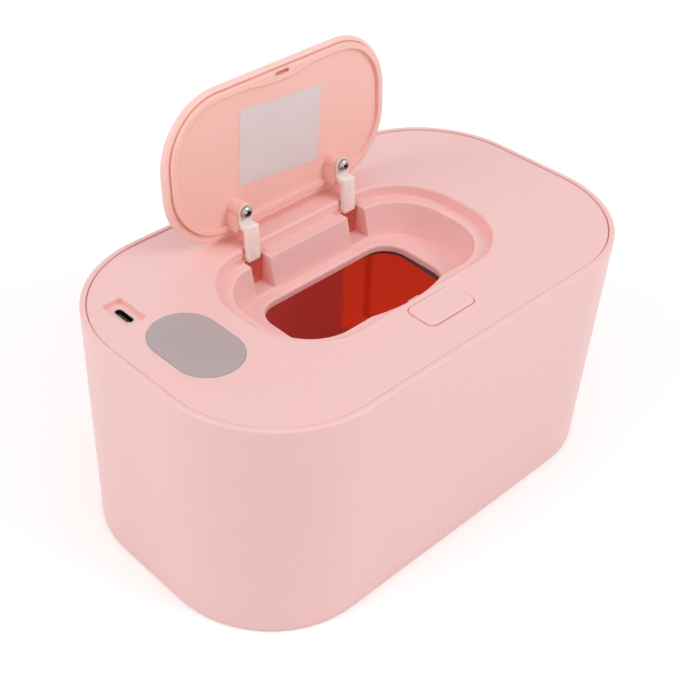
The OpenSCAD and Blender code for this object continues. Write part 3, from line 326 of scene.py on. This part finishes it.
# %% Foam and rubber
def cellular(name, colour, dark, cell, rough):
    m, tree, shader, place = start(name, {"Roughness": rough, "IOR": 1.5})
    cells = add(tree, "ShaderNodeTexVoronoi", {"Scale": 1 / cell}, {"Vector": (place, "Object")})
    ramp = add(tree, "ShaderNodeValToRGB", links={"Fac": (cells, "Distance")})
    ramp.color_ramp.elements[0].color = linear(colour)
    ramp.color_ramp.elements[1].color = linear(dark)
    tree.links.new(ramp.outputs["Color"], shader.inputs["Base Color"])
    bump = add(tree, "ShaderNodeBump", {"Strength": 0.5, "Distance": 0.1 * MM, "invert": True},
               {"Height": (cells, "Distance")})
    tree.links.new(bump.outputs["Normal"], shader.inputs["Normal"])
    return m


epe_foam = cellular("foam_closed_cell", "#F4F2EE", "#DCD9D3", 1.5 * MM, 0.85)
# The gasket's dark brown-grey is partly its own grey and partly painted shade, the shadow on its
# inner face under the hem.
eva_grey = cellular("foam_rubber_brown_grey", "#63504D", "#503F3C", 0.5 * MM, 0.75)
seal_rubber = cellular("silicone_rose", "#E0A49D", "#D89A93", 0.6 * MM, 0.6)
foot_rubber = cellular("rubber_foot", "#514C4F", "#443F42", 0.4 * MM, 0.8)
print("soft:", epe_foam.name, eva_grey.name, foot_rubber.name)

# %% [markdown]
# The heater lining is an orange-red film, glossier than the foam, and is seen through the wipe
# opening. From the left, the far wall is first a dull brown-red sheet, then bright orange-red,
# with one darker upright band. Strips of mesh could show these, but for something so thin the
# colour is enough. Both are real positions along X on the back wall, so the pattern reads Object
# coordinates. The darker band rises between its first two limits and falls between its
# last two. A little emission stands for the light that goes round and round between the walls.

# %% A band with soft sides
DARK_BAND_X = (61.3 * MM, 63.7 * MM, 64.8 * MM, 67.2 * MM)


def between(tree, source, output, limits):
    enters = add(tree, "ShaderNodeMapRange",
                 {"From Min": limits[0], "From Max": limits[1],
                  "interpolation_type": "SMOOTHSTEP"},
                 {"Value": (source, output)})
    leaves = add(tree, "ShaderNodeMapRange",
                 {"From Min": limits[2], "From Max": limits[3], "To Min": 1.0, "To Max": 0.0,
                  "interpolation_type": "SMOOTHSTEP"},
                 {"Value": (source, output)})
    return add(tree, "ShaderNodeMath", {"operation": "MULTIPLY"},
               {0: (enters, "Result"), 1: (leaves, "Result")})


print("the seam stands at X =", round(sum(DARK_BAND_X) / len(DARK_BAND_X) / MM, 1), "mm")

# %% Heater film, with its dull sheet and darker band
SHEET_ENDS = (47.5 * MM, 52.5 * MM)
FILM_CLOUD = 18 * MM
FILM_GLOW = 0.17


def heater_film(name):
    m, tree, shader, place = start(name, {"IOR": 1.45, "Coat Weight": 0.15, "Coat Roughness": 0.25})
    xyz = add(tree, "ShaderNodeSeparateXYZ", links={"Vector": (place, "Object")})
    past_sheet = add(tree, "ShaderNodeMapRange",
                     {"From Min": SHEET_ENDS[0], "From Max": SHEET_ENDS[1],
                      "interpolation_type": "SMOOTHSTEP"}, {"Value": (xyz, "X")})
    # The film is made darker in an upright band here.
    darker_band = between(tree, xyz, "X", DARK_BAND_X)
    cloud = add(tree, "ShaderNodeTexNoise", {"Scale": 1 / FILM_CLOUD, "Detail": 3.0},
                {"Vector": (place, "Object")})
    bright = add(tree, "ShaderNodeValToRGB", links={"Fac": (cloud, "Fac")})
    bright.color_ramp.elements[0].color = linear("#EE5534")
    bright.color_ramp.elements[1].color = linear("#F4603C")
    wall = add(tree, "ShaderNodeMix", {"data_type": "RGBA"}, {0: (past_sheet, "Result")})
    wall.inputs[6].default_value = linear("#C9544C")
    tree.links.new(bright.outputs["Color"], wall.inputs[7])
    full = add(tree, "ShaderNodeMix", {"data_type": "RGBA"}, {0: (darker_band, "Value")})
    tree.links.new(wall.outputs[2], full.inputs[6])
    full.inputs[7].default_value = linear("#D9472C")
    tree.links.new(full.outputs[2], shader.inputs["Base Color"])
    tree.links.new(full.outputs[2], shader.inputs["Emission Color"])
    shader.inputs["Emission Strength"].default_value = FILM_GLOW
    shine = add(tree, "ShaderNodeMapRange", {"To Min": 0.38, "To Max": 0.5},
                {"Value": (cloud, "Fac")})
    tree.links.new(shine.outputs["Result"], shader.inputs["Roughness"])
    ripple = add(tree, "ShaderNodeBump", {"Strength": 0.4, "Distance": 0.4 * MM},
                 {"Height": (cloud, "Fac")})
    tree.links.new(ripple.outputs["Normal"], shader.inputs["Normal"])
    return m


red_film = heater_film("heater_film_red")
print("lining:", red_film.name)

# %% [markdown]
# ## Window, sticker and board
# The display window is grey acrylic with a soft-touch face: nearly flat in colour, with a thin
# clear coat. The display behind it doesn't show while it is off, so the window needn't be made
# see-through. Its grain is drawn at 0.5 mm, as the moulded plastic's is.

# %% Smoke-grey acrylic
WINDOW_CLOUD = 22 * MM


def smoke_acrylic(name):
    m, tree, shader, place = start(name, {"IOR": 1.49, "Coat Weight": 0.2, "Coat Roughness": 0.2})
    cloud = add(tree, "ShaderNodeTexNoise", {"Scale": 1 / WINDOW_CLOUD, "Detail": 1.0},
                {"Vector": (place, "Object")})
    ramp = add(tree, "ShaderNodeValToRGB", links={"Fac": (cloud, "Fac")})
    ramp.color_ramp.elements[0].color = linear("#AD9D9F")
    ramp.color_ramp.elements[1].color = linear("#B2A3A5")
    tree.links.new(ramp.outputs["Color"], shader.inputs["Base Color"])
    dust = add(tree, "ShaderNodeTexNoise", {"Scale": 1 / GRIT, "Detail": 3.0},
               {"Vector": (place, "Object")})
    rough = add(tree, "ShaderNodeMapRange", {"To Min": 0.36, "To Max": 0.46},
                {"Value": (dust, "Fac")})
    tree.links.new(rough.outputs["Result"], shader.inputs["Roughness"])
    bump = add(tree, "ShaderNodeBump", {"Strength": 0.2, "Distance": 0.02 * MM},
               {"Height": (dust, "Fac")})
    tree.links.new(bump.outputs["Normal"], shader.inputs["Normal"])
    return m


window_grey = smoke_acrylic("acrylic_smoke")
print("window:", window_grey.name)

# %% [markdown]
# The sticker is plain silver-grey film. It lies a little unevenly on its glue, which shows as a
# faint cloud in its colour and gloss. The cloud is over a centimetre wide, because film is too
# stiff to follow anything smaller.

# %% Sticker film
GLUE_CLOUD = 14 * MM


def sticker_film(name):
    m, tree, shader, place = start(name, {"IOR": 1.5, "Coat Weight": 0.3, "Coat Roughness": 0.3})
    cloud = add(tree, "ShaderNodeTexNoise", {"Scale": 1 / GLUE_CLOUD, "Detail": 2.0},
                {"Vector": (place, "Object")})
    ramp = add(tree, "ShaderNodeValToRGB", links={"Fac": (cloud, "Fac")})
    ramp.color_ramp.elements[0].color = linear("#DBCFCF")
    ramp.color_ramp.elements[1].color = linear("#E6DCDC")
    tree.links.new(ramp.outputs["Color"], shader.inputs["Base Color"])
    rough = add(tree, "ShaderNodeMapRange", {"To Min": 0.4, "To Max": 0.55},
                {"Value": (cloud, "Fac")})
    tree.links.new(rough.outputs["Result"], shader.inputs["Roughness"])
    bump = add(tree, "ShaderNodeBump", {"Strength": 0.3, "Distance": 0.1 * MM},
               {"Height": (cloud, "Fac")})
    tree.links.new(bump.outputs["Normal"], shader.inputs["Normal"])
    return m


silver_film = sticker_film("polyester_film_silver")
print("sticker:", silver_film.name)

# %% [markdown]
# The circuit board is green solder mask over copper tracks about a millimetre apart. A brick
# pattern stands in for them, because they are seen only when the cover is taken apart. The body
# of the display, the amber film of the heater's tail and the glazed fuse differ from the plastics
# only in colour and gloss, so the same function makes them.

# %% Circuit board, and the last few parts
TRACKS = 4 * MM


def solder_mask(name):
    m, tree, shader, place = start(name, {"Roughness": 0.35, "IOR": 1.5})
    tracks = add(tree, "ShaderNodeTexBrick",
                 {"Scale": 1 / TRACKS, "Mortar Size": 0.08, "Color1": linear("#2F6E47"),
                  "Color2": linear("#2B6641"), "Mortar": linear("#3F8757")},
                 {"Vector": (place, "Object")})
    tree.links.new(tracks.outputs["Color"], shader.inputs["Base Color"])
    bump = add(tree, "ShaderNodeBump", {"Strength": 0.3, "Distance": 0.04 * MM},
               {"Height": (tracks, "Fac")})
    tree.links.new(bump.outputs["Normal"], shader.inputs["Normal"])
    return m


board_green = solder_mask("fibreglass_board_green")
display_white = moulded("abs_display_white", "#E9E9E5", "#E2E2DE", 0.5)
copper_film = moulded("polyimide_film_amber", "#D98F42", "#CF8338", 0.35)
ceramic = moulded("ceramic_glazed", "#DAD4CB", "#D2CBC1", 0.25)
print("board:", board_green.name, display_white.name, copper_film.name, ceramic.name)

# %% [markdown]
# Behind each arm is a small box round the hinge. On the real cover it lets the red of the lining
# show, so the cover's own pink is mixed with red where a point lies in such a box. A second
# material would need faces of its own there. The lid's cap is one pink, but its inside faces the
# warm well, so there its colour is painted rosier: painted light, bounced from the well. A second
# tint gives its outside, where the normal points back, the cover's own pink.

# %% The red of the hinge boxes, and the lid's outside
BOX_X = (17 * MM, 18 * MM, 31 * MM, 32 * MM)
BOX_Y = (27.6 * MM, 28.4 * MM, 44 * MM, 45 * MM)
BOX_TOP = (90 * MM, 88 * MM)
FACES_BACK = (0.3, 0.8)


def tint_by(material, share, tint):
    tree = material.node_tree
    shader = next(n for n in tree.nodes if n.type == "BSDF_PRINCIPLED")
    both = add(tree, "ShaderNodeMix", {"data_type": "RGBA"}, {0: share})
    tree.links.new(shader.inputs["Base Color"].links[0].from_socket, both.inputs[6])
    both.inputs[7].default_value = linear(tint)
    tree.links.new(both.outputs[2], shader.inputs["Base Color"])
    return material


def redden_hinge_boxes(material):
    tree = material.node_tree
    place = add(tree, "ShaderNodeTexCoord")
    xyz = add(tree, "ShaderNodeSeparateXYZ", links={"Vector": (place, "Object")})
    side = add(tree, "ShaderNodeMath", {"operation": "ABSOLUTE"}, {0: (xyz, "X")})
    across = between(tree, side, "Value", BOX_X)
    along = between(tree, xyz, "Y", BOX_Y)
    below = add(tree, "ShaderNodeMapRange", {"From Min": BOX_TOP[0], "From Max": BOX_TOP[1]},
                {"Value": (xyz, "Z")})
    flat = add(tree, "ShaderNodeMath", {"operation": "MULTIPLY"},
               {0: (across, "Value"), 1: (along, "Value")})
    share = add(tree, "ShaderNodeMath", {"operation": "MULTIPLY"},
                {0: (flat, "Value"), 1: (below, "Result")})
    return tint_by(material, (share, "Value"), "#E0705E")


def pink_outside(material):
    tree = material.node_tree
    place = add(tree, "ShaderNodeTexCoord")
    xyz = add(tree, "ShaderNodeSeparateXYZ", links={"Vector": (place, "Normal")})
    back = add(tree, "ShaderNodeMapRange", {"From Min": FACES_BACK[0], "From Max": FACES_BACK[1]},
               {"Value": (xyz, "Y")})
    return tint_by(material, (back, "Result"), "#F2C5C3")


cover_abs = moulded("abs_satin_pink_cover", "#F2C5C3", "#F0C2C0", 0.36, glow=0.25, edge=0.7 * MM,
                    highlight=0.6, warm="#FFCAC5")
print("cover:", redden_hinge_boxes(cover_abs).name, "lid:", pink_outside(lid_abs).name)

# %% [markdown]
# Each CAD node gets the material of what it is made of. A table of names is easier to check than
# forty separate lines, and a node that is missing from it would stand out at once. The foam
# under the heated plate shows only as a thin line round it, and takes the red of the film.

# %% Dress every CAD node
FINISH = {
    "outer_shell": pink_abs, "top_cover": cover_abs, "lid_cap": lid_abs, "release_button": pink_abs,
    "lid_liner": liner_abs, "hinge_arm_left": nylon_white, "hinge_arm_right": nylon_white,
    "latch_slider": pink_abs, "latch_tray": white_abs, "tub_collar": white_abs,
    "cover_underplate": pink_abs, "contact_socket": white_abs, "heater_jacket": red_film,
    "heater_floor_pad": red_film, "heater_tail": copper_film, "insulation_floor": red_film,
    "insulation_wall": epe_foam, "ntc_sensor": black_resin, "thermal_fuse": ceramic,
    "seal_ring": seal_rubber, "well_gasket": eva_grey, "rubber_feet": foot_rubber,
    "touch_pad": eva_grey, "display_window": window_grey, "display_module": display_white,
    "control_pcb": board_green, "pcb_parts": black_resin, "usb_tongue": black_resin,
    "usb_c_socket": nickel, "contact_blades": brass, "hinge_pins": pin_steel,
    "hinge_springs": shaded_spring_steel, "button_spring": wire_steel, "lid_screws": nickel,
    "cover_screws": nickel, "socket_screws": nickel, "pcb_screws": nickel, "tray_screws": nickel,
    "lid_sticker": silver_film,
}


def dress(obj, material):
    obj.data.materials.clear()
    obj.data.materials.append(material)


for name, obj in nodes.items():
    dress(obj, FINISH[name])
print("dressed", len(FINISH), "of", len(nodes), "nodes")

# %% [markdown]
# ## Moulded edges
# A moulded part has no knife-sharp edge: the mould's own corners are slightly round, and those
# thin lines of light are what makes plastic look real. On the large parts the Bevel node above
# shades them and a painted highlight lightens them. The two arms are small and stand free, so
# theirs are real: the CAD mesh can't be changed, so it is copied, the copy's loose triangles are
# merged into one skin, and a Bevel modifier rounds the sharp edges. The copy then stands for the
# CAD node.

# %% Copy a CAD node and round its edges
SHARP = math.radians(28)
SAME_POINT = 0.002 * MM
ARM_EDGE = 0.6 * MM
ARM_STEPS = 3


def link_mesh(name, bm):
    mesh = bpy.data.meshes.new(name)
    bm.to_mesh(mesh)
    bm.free()
    piece = bpy.data.objects.new(name, mesh)
    scene.collection.objects.link(piece)
    return piece


def softened(node, body, width):
    bm = bmesh.new()
    bm.from_mesh(nodes[node].data)
    bmesh.ops.remove_doubles(bm, verts=bm.verts, dist=SAME_POINT)
    bmesh.ops.dissolve_degenerate(bm, edges=bm.edges, dist=SAME_POINT)
    piece = link_mesh(node + "_moulded", bm)
    piece.data.shade_smooth()
    edge = piece.modifiers.new("edge", "BEVEL")
    edge.limit_method = "ANGLE"
    edge.angle_limit = SHARP
    edge.width = width
    edge.segments = ARM_STEPS
    edge.use_clamp_overlap = True
    edge.harden_normals = True
    edge.miter_outer = "MITER_ARC"
    dress(piece, FINISH[node])
    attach(piece, body)
    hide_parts(node)
    return piece


for node in ("hinge_arm_left", "hinge_arm_right"):
    arm = softened(node, "lid", ARM_EDGE)
    print(arm.name, len(arm.data.polygons), "faces")

# %% [markdown]
# ## The bead in the lid's groove
# The liner is set into a pocket of the lid cap, with a narrow groove round it. The photograph
# shows no dark line there, as if the two were welded, so a bead makes the groove shallow. A circle
# is pulled apart into a rounded rectangle, twice, and a ring is bridged between the outlines.

# %% A ring in the groove
CORE = Vector((28.6, 4.1)) * MM
LINER_R = 22.5 * MM
GROOVE = 0.4 * MM
SHIFT_Y = -1 * MM
FLANGE_Z = 91.15 * MM
BEAD_BITE = 0.05 * MM
BEAD_T = 0.6 * MM
BEAD_SUNK = 0.3 * MM
BEAD_SIDES = 128
PIVOT = Vector((0, 35.3, 88.7)) * MM
OPEN = math.radians(-94.55)


def outline(bm, radius):
    made = bmesh.ops.create_circle(bm, segments=BEAD_SIDES, radius=radius)["verts"]
    half_step = Matrix.Rotation(math.pi / BEAD_SIDES, 3, "Z")
    bmesh.ops.rotate(bm, verts=made, cent=(0, 0, 0), matrix=half_step)
    for vert in made:
        vert.co.x += math.copysign(CORE.x, vert.co.x)
        vert.co.y += math.copysign(CORE.y, vert.co.y)
    return list({edge for vert in made for edge in vert.link_edges})


def weld_ring():
    bm = bmesh.new()
    loops = outline(bm, LINER_R - BEAD_BITE) + outline(bm, LINER_R + GROOVE + BEAD_BITE)
    bmesh.ops.bridge_loops(bm, edges=loops)
    bmesh.ops.recalc_face_normals(bm, faces=bm.faces)
    bmesh.ops.solidify(bm, geom=bm.faces, thickness=BEAD_T)
    lowest = min(vert.co.z for vert in bm.verts)
    bmesh.ops.translate(bm, verts=bm.verts, vec=(0, SHIFT_Y, FLANGE_Z + BEAD_SUNK - lowest))
    open_lid = (Matrix.Translation(PIVOT) @ Matrix.Rotation(OPEN, 4, "X")
                @ Matrix.Translation(-PIVOT))
    bmesh.ops.transform(bm, matrix=open_lid, verts=bm.verts)
    return link_mesh("lid_weld_bead", bm)


bead = weld_ring()
dress(bead, liner_abs)
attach(bead, "lid")
print("bead:", len(bead.data.polygons), "faces")

# %% [markdown]
# ## Lid screws
# The two screws that hold the arms catch the light, so they get a real pan head. A domed profile
# is spun round the screw's axis, as a lathe would turn it, which keeps the head round from every
# side. For the cross in it there are two blades with sloping ends, one across the other.

# %% A pan head, and a blade of its cross
HEAD_R = 2.35 * MM
HEAD_H = 1.8 * MM
SHANK_R = 0.8 * MM
SHANK_L = 4.5 * MM
CROSS_W = 3.4 * MM
CROSS_T = 0.95 * MM
CROSS_DEEP = 0.95 * MM
CROSS_TIP = (0.5, 0.8, 1)
RIM = 0.4
CHAMFER = 0.1 * MM
DOME_STEP = 10
TURNS = 64


def dome_height(r):
    return HEAD_H * (RIM + (1 - RIM) * math.sqrt(max(0, 1 - (r / HEAD_R) ** 2)))


def pan_head():
    radii = [HEAD_R * math.sin(math.radians(angle)) for angle in range(0, 91, DOME_STEP)]
    profile = [(r, dome_height(r)) for r in radii]
    profile += [(HEAD_R, CHAMFER), (HEAD_R - CHAMFER, 0), (SHANK_R, 0), (SHANK_R, -SHANK_L),
                (0, -SHANK_L)]
    bm = bmesh.new()
    verts = [bm.verts.new((r, 0, h)) for r, h in profile]
    edges = [bm.edges.new(pair) for pair in zip(verts, verts[1:])]
    bmesh.ops.spin(bm, geom=verts + edges, cent=(0, 0, 0), axis=(0, 0, 1), angle=math.tau,
                   steps=TURNS, use_merge=True)
    bmesh.ops.remove_doubles(bm, verts=bm.verts, dist=SAME_POINT)
    bmesh.ops.recalc_face_normals(bm, faces=bm.faces)
    return bm


def blade(turn):
    bm = bmesh.new()
    made = bmesh.ops.create_cube(bm, size=1.0)["verts"]
    bmesh.ops.scale(bm, verts=made, vec=(CROSS_W, CROSS_T, 2 * CROSS_DEEP))
    low = [v for v in made if v.co.z < 0]
    bmesh.ops.scale(bm, verts=low, vec=CROSS_TIP)
    bmesh.ops.rotate(bm, verts=made, cent=(0, 0, 0), matrix=Matrix.Rotation(turn, 3, "Z"))
    bmesh.ops.translate(bm, verts=made, vec=(0, 0, HEAD_H))
    return link_mesh("blade", bm)


print("pan head", round(2 * HEAD_R / MM, 1), "mm across")

# %% [markdown]
# On the real screw the recess is pressed in. Here both blades are cut away with Boolean modifiers,
# which leave a sharp edge where the recess meets the dome. The result is made a plain mesh, and
# the faces of the recess get a darker, rougher steel. The screws lie along the open lid's own
# normal, which leans a few degrees up from level, and each stays turned as it was when it was
# tightened.

# %% Cut the cross, then set one screw on each arm
SEAT = Vector((24.4, 32.39, 106.99)) * MM
LEAN = math.radians(4.55)
TWIST = {-1: math.radians(20), 1: math.radians(62)}
CROSS_REACH = 0.72 * HEAD_R
BELOW_DOME = 0.12 * MM
CREASE = math.radians(35)


def lid_screw(side):
    screw = link_mesh("lid_screw_left" if side < 0 else "lid_screw_right", pan_head())
    blades = [blade(0), blade(math.pi / 2)]
    for cutter in blades:
        cut = screw.modifiers.new("cross", "BOOLEAN")
        cut.operation, cut.object, cut.solver = "DIFFERENCE", cutter, "EXACT"
    bpy.context.view_layer.update()
    seen = screw.evaluated_get(bpy.context.evaluated_depsgraph_get())
    mesh = bpy.data.meshes.new_from_object(seen)
    mesh.materials.clear()
    mesh.materials.append(nickel)
    mesh.materials.append(darker_steel)
    for face in mesh.polygons:
        r = math.hypot(face.center.x, face.center.y)
        under_dome = 0 < face.center.z < dome_height(r) - BELOW_DOME
        face.material_index = int(r < CROSS_REACH and under_dome)
    screw.modifiers.clear()
    screw.data = mesh
    for cutter in blades:
        bpy.data.objects.remove(cutter)
    place = (Matrix.Translation(Vector((side * SEAT.x, SEAT.y, SEAT.z)))
             @ Matrix.Rotation(math.pi / 2 - LEAN, 4, "X") @ Matrix.Rotation(TWIST[side], 4, "Z"))
    mesh.transform(place)
    mesh.shade_smooth()
    mesh.set_sharp_from_angle(angle=CREASE)
    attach(screw, "lid")
    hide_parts("lid_screws")
    return screw


for side in (-1, 1):
    made = lid_screw(side)
    recess = sum(face.material_index for face in made.data.polygons)
    print(made.name, "seated,", recess, "faces in its cross")

# %% [markdown]
# ## Button spring
# The coil under the button is pushed shorter as the button goes down. If it moved with the
# button, its lower end would sink into its seat, and if it stayed, the button would cut into it.
# Here a copy of it, with a mesh of its own, rides the cover in its place.

# %% A copy of the spring that rides the cover
coil = bpy.data.objects.new("button_spring_coil", nodes["button_spring"].data.copy())
scene.collection.objects.link(coil)
dress(coil, wire_steel)
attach(coil, "cover")
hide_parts("button_spring")
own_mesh(coil)

# %% [markdown]
# ## Stage and light
# The floor is white. Near the object it keeps the shadow, and from there it turns pure white with
# distance, so that it meets the surround without a line. Brighter lamps would whiten it too, but
# they would bleach the pinks. Only rays that are seen, straight, in a gloss or through something
# clear, get the extra white, so it never lights the object.

# %% Floor
FLOOR_R = 3.0
FLOOR_SIDES = 96
FLOOR_LIFT = (0.22, 1.0)
FADE = (0.35, 0.9)


def seen_ray(tree):
    path = add(tree, "ShaderNodeLightPath")
    either = add(tree, "ShaderNodeMath", {"operation": "MAXIMUM"},
                 {0: (path, "Is Camera Ray"), 1: (path, "Is Glossy Ray")})
    return add(tree, "ShaderNodeMath", {"operation": "MAXIMUM"},
               {0: (either, "Value"), 1: (path, "Is Transmission Ray")})


def make_floor():
    bm = bmesh.new()
    bmesh.ops.create_circle(bm, cap_ends=True, radius=FLOOR_R, segments=FLOOR_SIDES)
    return link_mesh("floor", bm)


def floor_white(name):
    m, tree, shader, place = start(name, {"Roughness": 0.9, "Specular IOR Level": 0.0})
    shader.inputs["Base Color"].default_value = linear("#F4F4F4")
    far = add(tree, "ShaderNodeVectorMath", {"operation": "LENGTH"}, {0: (place, "Object")})
    white = add(tree, "ShaderNodeMapRange",
                {"From Min": FADE[0], "From Max": FADE[1], "To Min": FLOOR_LIFT[0],
                 "To Max": FLOOR_LIFT[1]}, {"Value": (far, "Value")})
    lift = add(tree, "ShaderNodeMath", {"operation": "MULTIPLY"},
               {0: (seen_ray(tree), "Value"), 1: (white, "Result")})
    shader.inputs["Emission Color"].default_value = linear("#FFFFFF")
    tree.links.new(lift.outputs["Value"], shader.inputs["Emission Strength"])
    return m


floor = make_floor()
dress(floor, floor_white("floor_white"))
print("floor radius", FLOOR_R, "m")

# %% [markdown]
# One large soft lamp stands high on the left and one in front, and a weaker one hangs above. Small
# lamps would draw hard shadows, which the photograph doesn't have. The white world does the rest,
# at a level at which the pinks come out as they are written, and is pure white only to the rays
# that are seen, as the floor is.

# %% Lamps and world
LAMP_AIM = Vector((0, 0, 0.05))
WORLD_LIGHT = 0.62


def soft_lamp(name, place, size, watts):
    lamp = bpy.data.lights.new(name, "AREA")
    lamp.shape = "DISK"
    lamp.size = size
    lamp.energy = watts
    obj = bpy.data.objects.new(name, lamp)
    scene.collection.objects.link(obj)
    aim = (LAMP_AIM - place).to_track_quat("-Z", "Y")
    obj.matrix_world = Matrix.Translation(place) @ aim.to_matrix().to_4x4()


def white_world():
    world = bpy.data.worlds.new("studio")
    world.use_nodes = True
    tree = world.node_tree
    tree.nodes.clear()
    level = add(tree, "ShaderNodeMapRange", {"To Min": WORLD_LIGHT, "To Max": 1.0},
                {"Value": (seen_ray(tree), "Value")})
    sky = add(tree, "ShaderNodeBackground", {"Color": linear("#FFFFFF")},
              {"Strength": (level, "Result")})
    add(tree, "ShaderNodeOutputWorld", links={"Surface": (sky, "Background")})
    return world


soft_lamp("left_lamp", Vector((-1.09, 0.36, 0.96)), size=0.9, watts=5.8)
soft_lamp("front_lamp", Vector((0.47, -1.01, 1.0)), size=0.7, watts=5.8)
soft_lamp("top_lamp", Vector((-0.1, -0.2, 1.6)), size=0.8, watts=1.5)
scene.world = white_world()
scene.view_settings.view_transform = "Standard"
